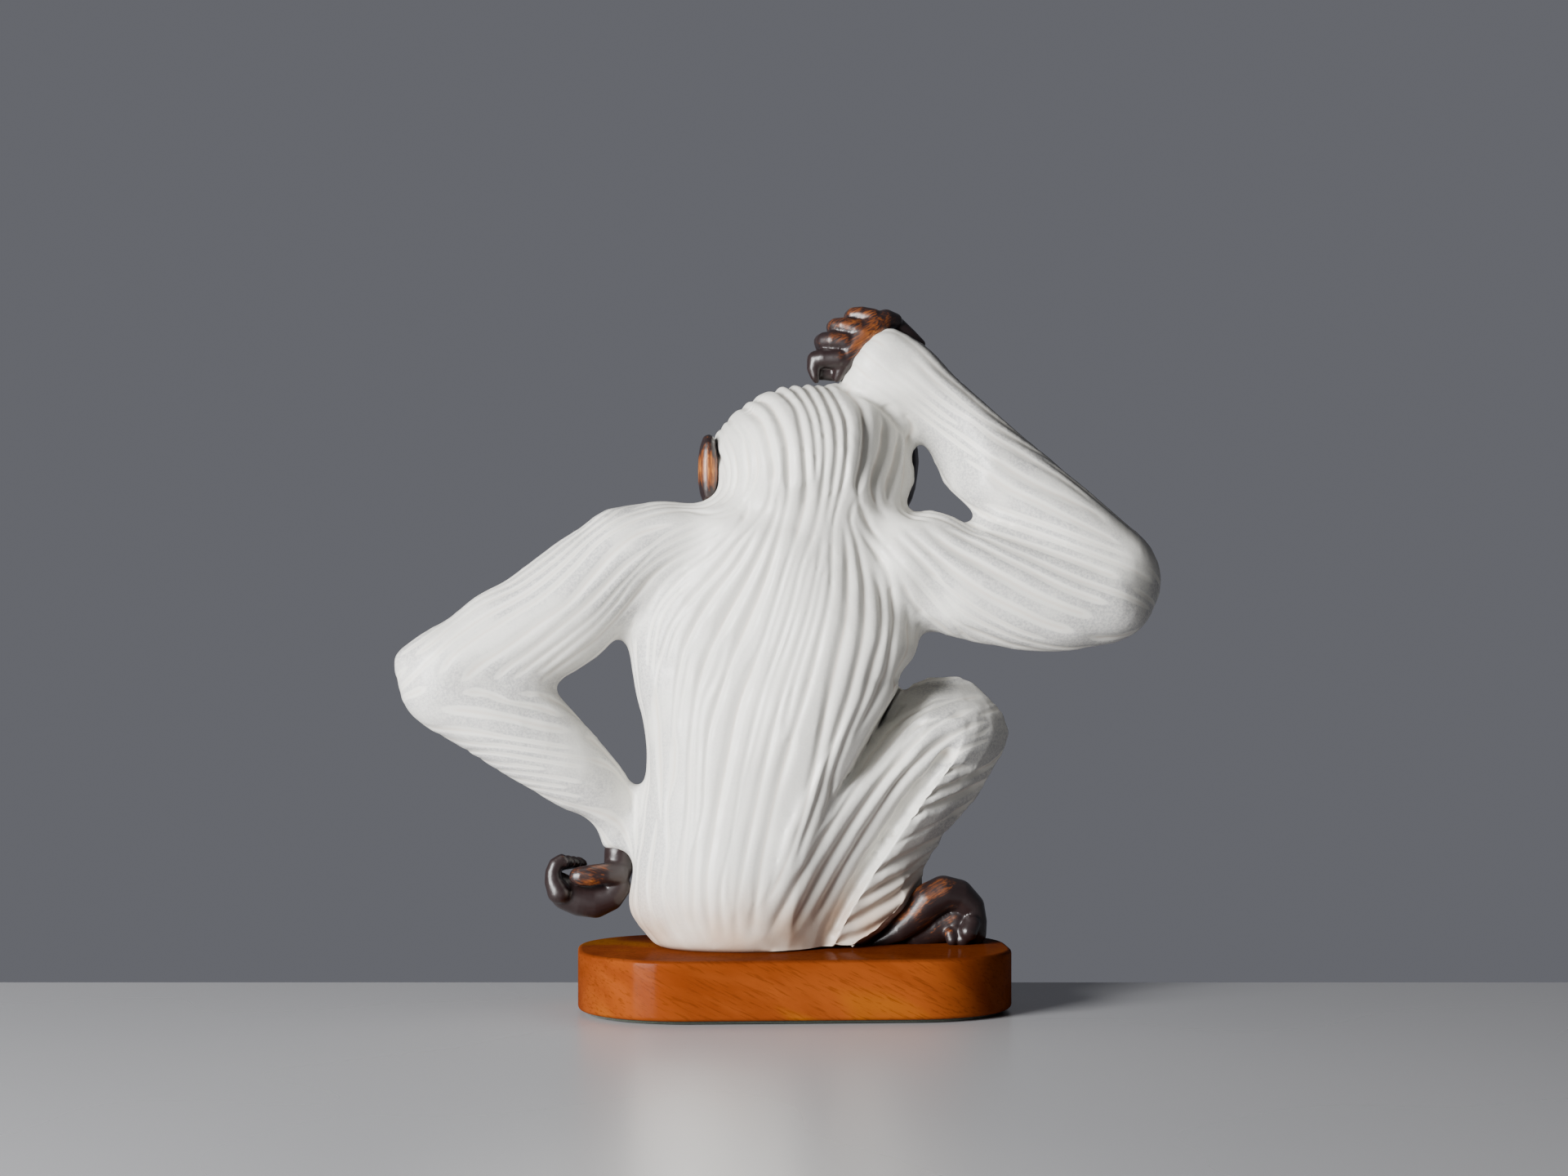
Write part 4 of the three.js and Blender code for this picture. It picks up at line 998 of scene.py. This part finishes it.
class StonewareSettings(bpy.types.PropertyGroup):
    """Clay and glazes of the figure."""

    cell: FloatProperty(name="Clay Cell", description="Size of the cells that the clay is worked in",
                        default=0.00275, min=0.001, unit="LENGTH")
    swell: FloatProperty(name="Joint Swell", description="Growth that closes the joints of the cast pieces",
                         default=0.0006, min=0.0, unit="LENGTH")
    smoothing: IntProperty(name="Smoothing", description="Rounds of smoothing of the clay",
                           default=90, min=0)
    spacing: FloatProperty(name="Furrow Spacing", description="Distance between furrows on the hidden sides",
                           default=0.0052, min=0.002, unit="LENGTH")
    widest: FloatProperty(name="Widest Furrow", description="Largest half width of a furrow",
                          default=0.0042, min=0.001, unit="LENGTH")
    crease: FloatProperty(name="Crease", description="Depth of the crease where a limb crosses",
                          default=0.0032, min=0.0, unit="LENGTH")
    depth: FloatProperty(name="Furrow Depth", description="Share of the furrows' full depth",
                         default=1.2, min=0.0)
    white: FloatVectorProperty(name="White", description="White glaze", subtype="COLOR", size=3,
                               default=(0.825, 0.81, 0.75))
    grey: FloatVectorProperty(name="Grey", description="Thin glaze along the furrows",
                              subtype="COLOR", size=3, default=(0.47, 0.465, 0.46))
    # Colour of the warm foot, partly blush and partly painted bounce light, and of the painted shade in the
    # furrows.
    blush_and_painted_light: FloatVectorProperty(name="Blush", description="Warm glaze at the foot", subtype="COLOR", size=3,
                               default=(0.58, 0.42, 0.31))
    dark: FloatVectorProperty(name="Dark", description="Dark brown glaze", subtype="COLOR", size=3,
                              default=(0.017, 0.0095, 0.0095))
    rust: FloatVectorProperty(name="Rust", description="Rust streaks", subtype="COLOR", size=3,
                              default=(0.16, 0.045, 0.010))
    amber: FloatVectorProperty(name="Amber", description="Amber where the glaze is thin",
                               subtype="COLOR", size=3, default=(0.44, 0.16, 0.03))


class PlinthSettings(bpy.types.PropertyGroup):
    """Wooden plinth."""

    corner: FloatProperty(name="Corner", description="Radius of the round corners",
                          default=0.04, unit="LENGTH")
    arris: FloatProperty(name="Arris", description="Rounding of the long edges",
                         default=0.0016, unit="LENGTH")
    dark: FloatVectorProperty(name="Dark", description="Dark figure of the wood", subtype="COLOR", size=3,
                              default=(0.160, 0.030, 0.005))
    light: FloatVectorProperty(name="Light", description="Golden figure of the wood",
                               subtype="COLOR", size=3, default=(0.24, 0.054, 0.009))
    gold: FloatVectorProperty(name="Gold", description="Yellow flame in the figure of the wood",
                              subtype="COLOR", size=3, default=(0.34, 0.12, 0.006))
    # Painted shade that darkens the top and the left end of the board.
    painted_shade: FloatVectorProperty(name="Stain", description="Darker stain on the top and the left end",
                               subtype="COLOR", size=3, default=(0.04, 0.006, 0.001))
    pore: FloatVectorProperty(name="Pore", description="Pores of the wood", subtype="COLOR", size=3,
                              default=(0.09, 0.017, 0.002))


class StageSettings(bpy.types.PropertyGroup):
    """Floor, light and camera."""

    key: FloatProperty(name="Key Light", description="Power of the large soft lamp",
                       default=78.0, unit="POWER")
    floor: FloatVectorProperty(name="Floor", description="Colour of the floor", subtype="COLOR", size=3,
                               default=(0.50, 0.50, 0.515))
    ambient: FloatVectorProperty(name="Ambient", description="Light from all sides",
                                 subtype="COLOR", size=3, default=(0.022, 0.022, 0.024))
    backdrop: FloatVectorProperty(name="Backdrop", description="Colour behind the floor",
                                  subtype="COLOR", size=3, default=(0.135, 0.138, 0.156))


class ApeSettings(bpy.types.PropertyGroup):
    """All values of the figure."""

    stoneware: PointerProperty(type=StonewareSettings)
    plinth: PointerProperty(type=PlinthSettings)
    stage: PointerProperty(type=StageSettings)


class APE_OT_plinth(bpy.types.Operator):
    """Build the plinth and finish its felt and fixings"""

    bl_idname = "ape.plinth"
    bl_label = "Plinth"

    def execute(self, context):
        piece_of("plinth_board", plinth_board(), lacquered_wood(), "lacquered_wood", "plinth")
        finishes = {"felt": felt_cloth(), "fixing_plug": plain_wood()}
        zinc = zinc_plate()
        for node in ("felt", "fixing_plug", "washer_left", "washer_right",
                     "fixing_screw_left", "fixing_screw_right"):
            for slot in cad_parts[node].material_slots:
                slot.material = finishes.get(node, zinc)
        return {"FINISHED"}


class APE_OT_coat(bpy.types.Operator):
    """Work the white body, head and limbs as one skin, furrow it and part it again"""

    bl_idname = "ape.coat"
    bl_label = "Furrowed Coat"

    def execute(self, context):
        stone = settings().stoneware
        first_cell, give_back = 0.87 * stone.cell, 0.51
        clay = worked(clay_blank(WHITE_NODES, stone.swell, beads(LEG_FILL)), remesh(first_cell))
        soften(clay, stone.smoothing, push=give_back)
        grab(clay, GRABS)
        turn_away(clay, TURNS)
        press(clay, LEG_RELIEF)
        clay = worked(clay, remesh(stone.cell))
        soften(clay, 6, push=give_back)
        for _ in WHITE_NODES:
            clay.materials.append(None)
        clay.polygons.foreach_set("material_index", part_leg(clay, nearest_node(clay, WHITE_NODES)))
        coat = Coat(clay)
        strokes = []
        for group, share in ((DEEP_FURROWS, 1.0), (CALF_FURROWS, 1.2), (ARM_FURROWS, 1.0),
                             (FAINT_FURROWS, 0.5)):
            for flat in group:
                line = cast(coat.tree, flat, coat.STEP, -1)
                if len(line) > 5:
                    strokes.append(line)
                    coat.add(line, share)
        front = [cast(coat.tree, flat, coat.STEP, 1) for flat in FRONT_STROKES]
        strokes += [line for line in front if len(line) > 3]
        coat.comb(strokes)
        coat.run_on(stone.spacing)
        coat.fill(stone.spacing, 0.9)
        clay = worked(clay, subdivide(2))
        press(clay, LEG_RELIEF)
        creases = [(cast(coat.tree, flat, coat.STEP, -1), share) for share, flat in CREASES]
        carve(clay, creases, lambda co: stone.crease, stone.crease, 16 * MM)
        furrow = carve(clay, coat.lines, lambda co: coat_depth(co) * stone.depth, stone.widest)
        soften(clay, 4, 0.4)
        kept = clay.attributes.new("furrow", "FLOAT", "POINT")
        kept.data.foreach_set("value", furrow.astype(np.float32))
        kept = clay.attributes.new("whole_normal", "FLOAT_VECTOR", "POINT")
        kept.data.foreach_set("vector", points_of(clay, "normal").astype(np.float32).ravel())
        glaze = white_glaze()
        for number, node in enumerate(WHITE_NODES):
            piece_of("glazed_" + node, split(clay, number), glaze, "white_glaze", node)
        bpy.data.meshes.remove(clay)
        return {"FINISHED"}


class APE_OT_hands(bpy.types.Operator):
    """Work the brown hands, feet, ears and face"""

    bl_idname = "ape.hands"
    bl_label = "Hands, Feet and Face"

    def execute(self, context):
        # Node, run of the brush strokes, share of rust, heart and reach of the thin glaze, clay.
        for node, way, rust, heart, reach, chains in (
            ("left_hand", (1, 0, -0.3), -0.02, (-76, 2, 50), 11, LEFT_HAND),
            ("right_hand", (0.85, 0, 0.5), 0.0, (26, 8, 254), 19, RIGHT_HAND),
            ("left_foot", (1, 0, 0), -0.05, (20, 38, 34), 16, None),
            ("right_foot", (0.8, 0.1, 0.45), -0.07, (49, 2, 38), 24, RIGHT_FOOT),
            ("left_ear", (0, 0, 1), 0.0, (-32, 4, 203), 11, LEFT_EAR),
            ("right_ear", (0, 0, 1), -0.02, (44, 34, 202), 12, RIGHT_EAR),
            ("face", (0, 0, 1), -0.05, (-2, 50, 196), 30, None),
        ):
            glaze = brown_glaze("brown_" + node, way, rust, heart, reach)
            if chains:
                mesh = worked_smooth(beads(chains), 0.55 * MM, 6)
            else:
                mesh = worked_smooth(clay_blank((node,), 0.25 * MM), 0.8 * MM, 5)
            piece_of("brown_" + node, mesh, glaze, "brown_glaze", node)
        return {"FINISHED"}


def lamp(name, place, aim, size, power):
    data = bpy.data.lights.new(name, "AREA")
    data.shape, data.size, data.size_y = "RECTANGLE", *size
    data.energy = power
    obj = bpy.data.objects.new(name, data)
    obj.location = place
    obj.rotation_euler = (Vector(aim) - Vector(place)).to_track_quat("-Z", "Y").to_euler()
    bpy.context.scene.collection.objects.link(obj)


class APE_OT_stage(bpy.types.Operator):
    """Set the floor, the light and the camera"""

    bl_idname = "ape.stage"
    bl_label = "Stage"

    def execute(self, context):
        stage = settings().stage
        width, depth, far_edge, drop = 6.0, 3.0, 0.081, 0.0004
        bm = bmesh.new()
        bmesh.ops.create_grid(bm, x_segments=2, y_segments=2, size=0.5)
        bmesh.ops.scale(bm, vec=(width, depth, 1), verts=bm.verts)
        bmesh.ops.translate(bm, vec=(0, far_edge - depth / 2, -drop), verts=bm.verts)
        bmesh.ops.rotate(bm, cent=(0, 0, 0), matrix=Matrix.Rotation(YAW, 3, "Z"), verts=bm.verts)
        mesh = mesh_of(bm, "floor_mesh")
        paint = Finish("floor_paint", IOR=1.5)
        cloud = paint.noise(3, 2)
        colour = paint.mix(cloud, rgba(stage.floor), rgba([0.97 * c for c in stage.floor]))
        mesh.materials.append(paint.finish(colour, paint.between(cloud, 0.2, 0.8, 0.24, 0.3)))
        floor = bpy.data.objects.new("floor", mesh)
        context.scene.collection.objects.link(floor)
        world = bpy.data.worlds.new("backdrop")
        world.use_nodes = True
        nodes, links = world.node_tree.nodes, world.node_tree.links
        path = nodes.new("ShaderNodeLightPath")
        either = nodes.new("ShaderNodeMath")
        either.operation = "MAXIMUM"
        links.new(path.outputs["Is Camera Ray"], either.inputs[0])
        links.new(path.outputs["Is Glossy Ray"], either.inputs[1])
        shade = nodes.new("ShaderNodeMix")
        shade.data_type = "RGBA"
        links.new(either.outputs[0], shade.inputs[0])
        shade.inputs[6].default_value = rgba(stage.ambient)
        shade.inputs[7].default_value = rgba(stage.backdrop)
        links.new(shade.outputs[2], nodes["Background"].inputs["Color"])
        context.scene.world = world
        lamp("key", (-1.17, -1.09, 0.43), (0, 0, 0.13), (0.7, 0.8), stage.key)
        data = bpy.data.cameras.new("camera")
        data.lens, data.sensor_width = 75.0, 36.0
        data.clip_start, data.clip_end = 0.01, 50.0
        camera = bpy.data.objects.new("camera", data)
        camera.location = EYE
        camera.rotation_euler = (math.radians(90), 0, YAW)
        context.scene.collection.objects.link(camera)
        context.scene.camera = camera
        return {"FINISHED"}


class APE_PT_figure(bpy.types.Panel):
    """Pieces of the seated ape figure"""

    bl_idname = "APE_PT_figure"
    bl_label = "Seated Ape Figure"
    bl_space_type = "VIEW_3D"
    bl_region_type = "UI"
    bl_category = "Ape"

    def draw(self, context):
        for operator in OPERATORS:
            self.layout.operator(operator.bl_idname)


OPERATORS = (APE_OT_plinth, APE_OT_coat, APE_OT_hands, APE_OT_stage)
CLASSES = (StonewareSettings, PlinthSettings, StageSettings, ApeSettings, *OPERATORS, APE_PT_figure)


def register():
    for cls in CLASSES:
        bpy.utils.register_class(cls)
    bpy.types.Scene.ape = PointerProperty(type=ApeSettings)


def unregister():
    del bpy.types.Scene.ape
    for cls in reversed(CLASSES):
        bpy.utils.unregister_class(cls)


def main():
    register()
    for operator in OPERATORS:
        group, name = operator.bl_idname.split(".")
        getattr(getattr(bpy.ops, group), name)()


if __name__ == "__main__":
    main()
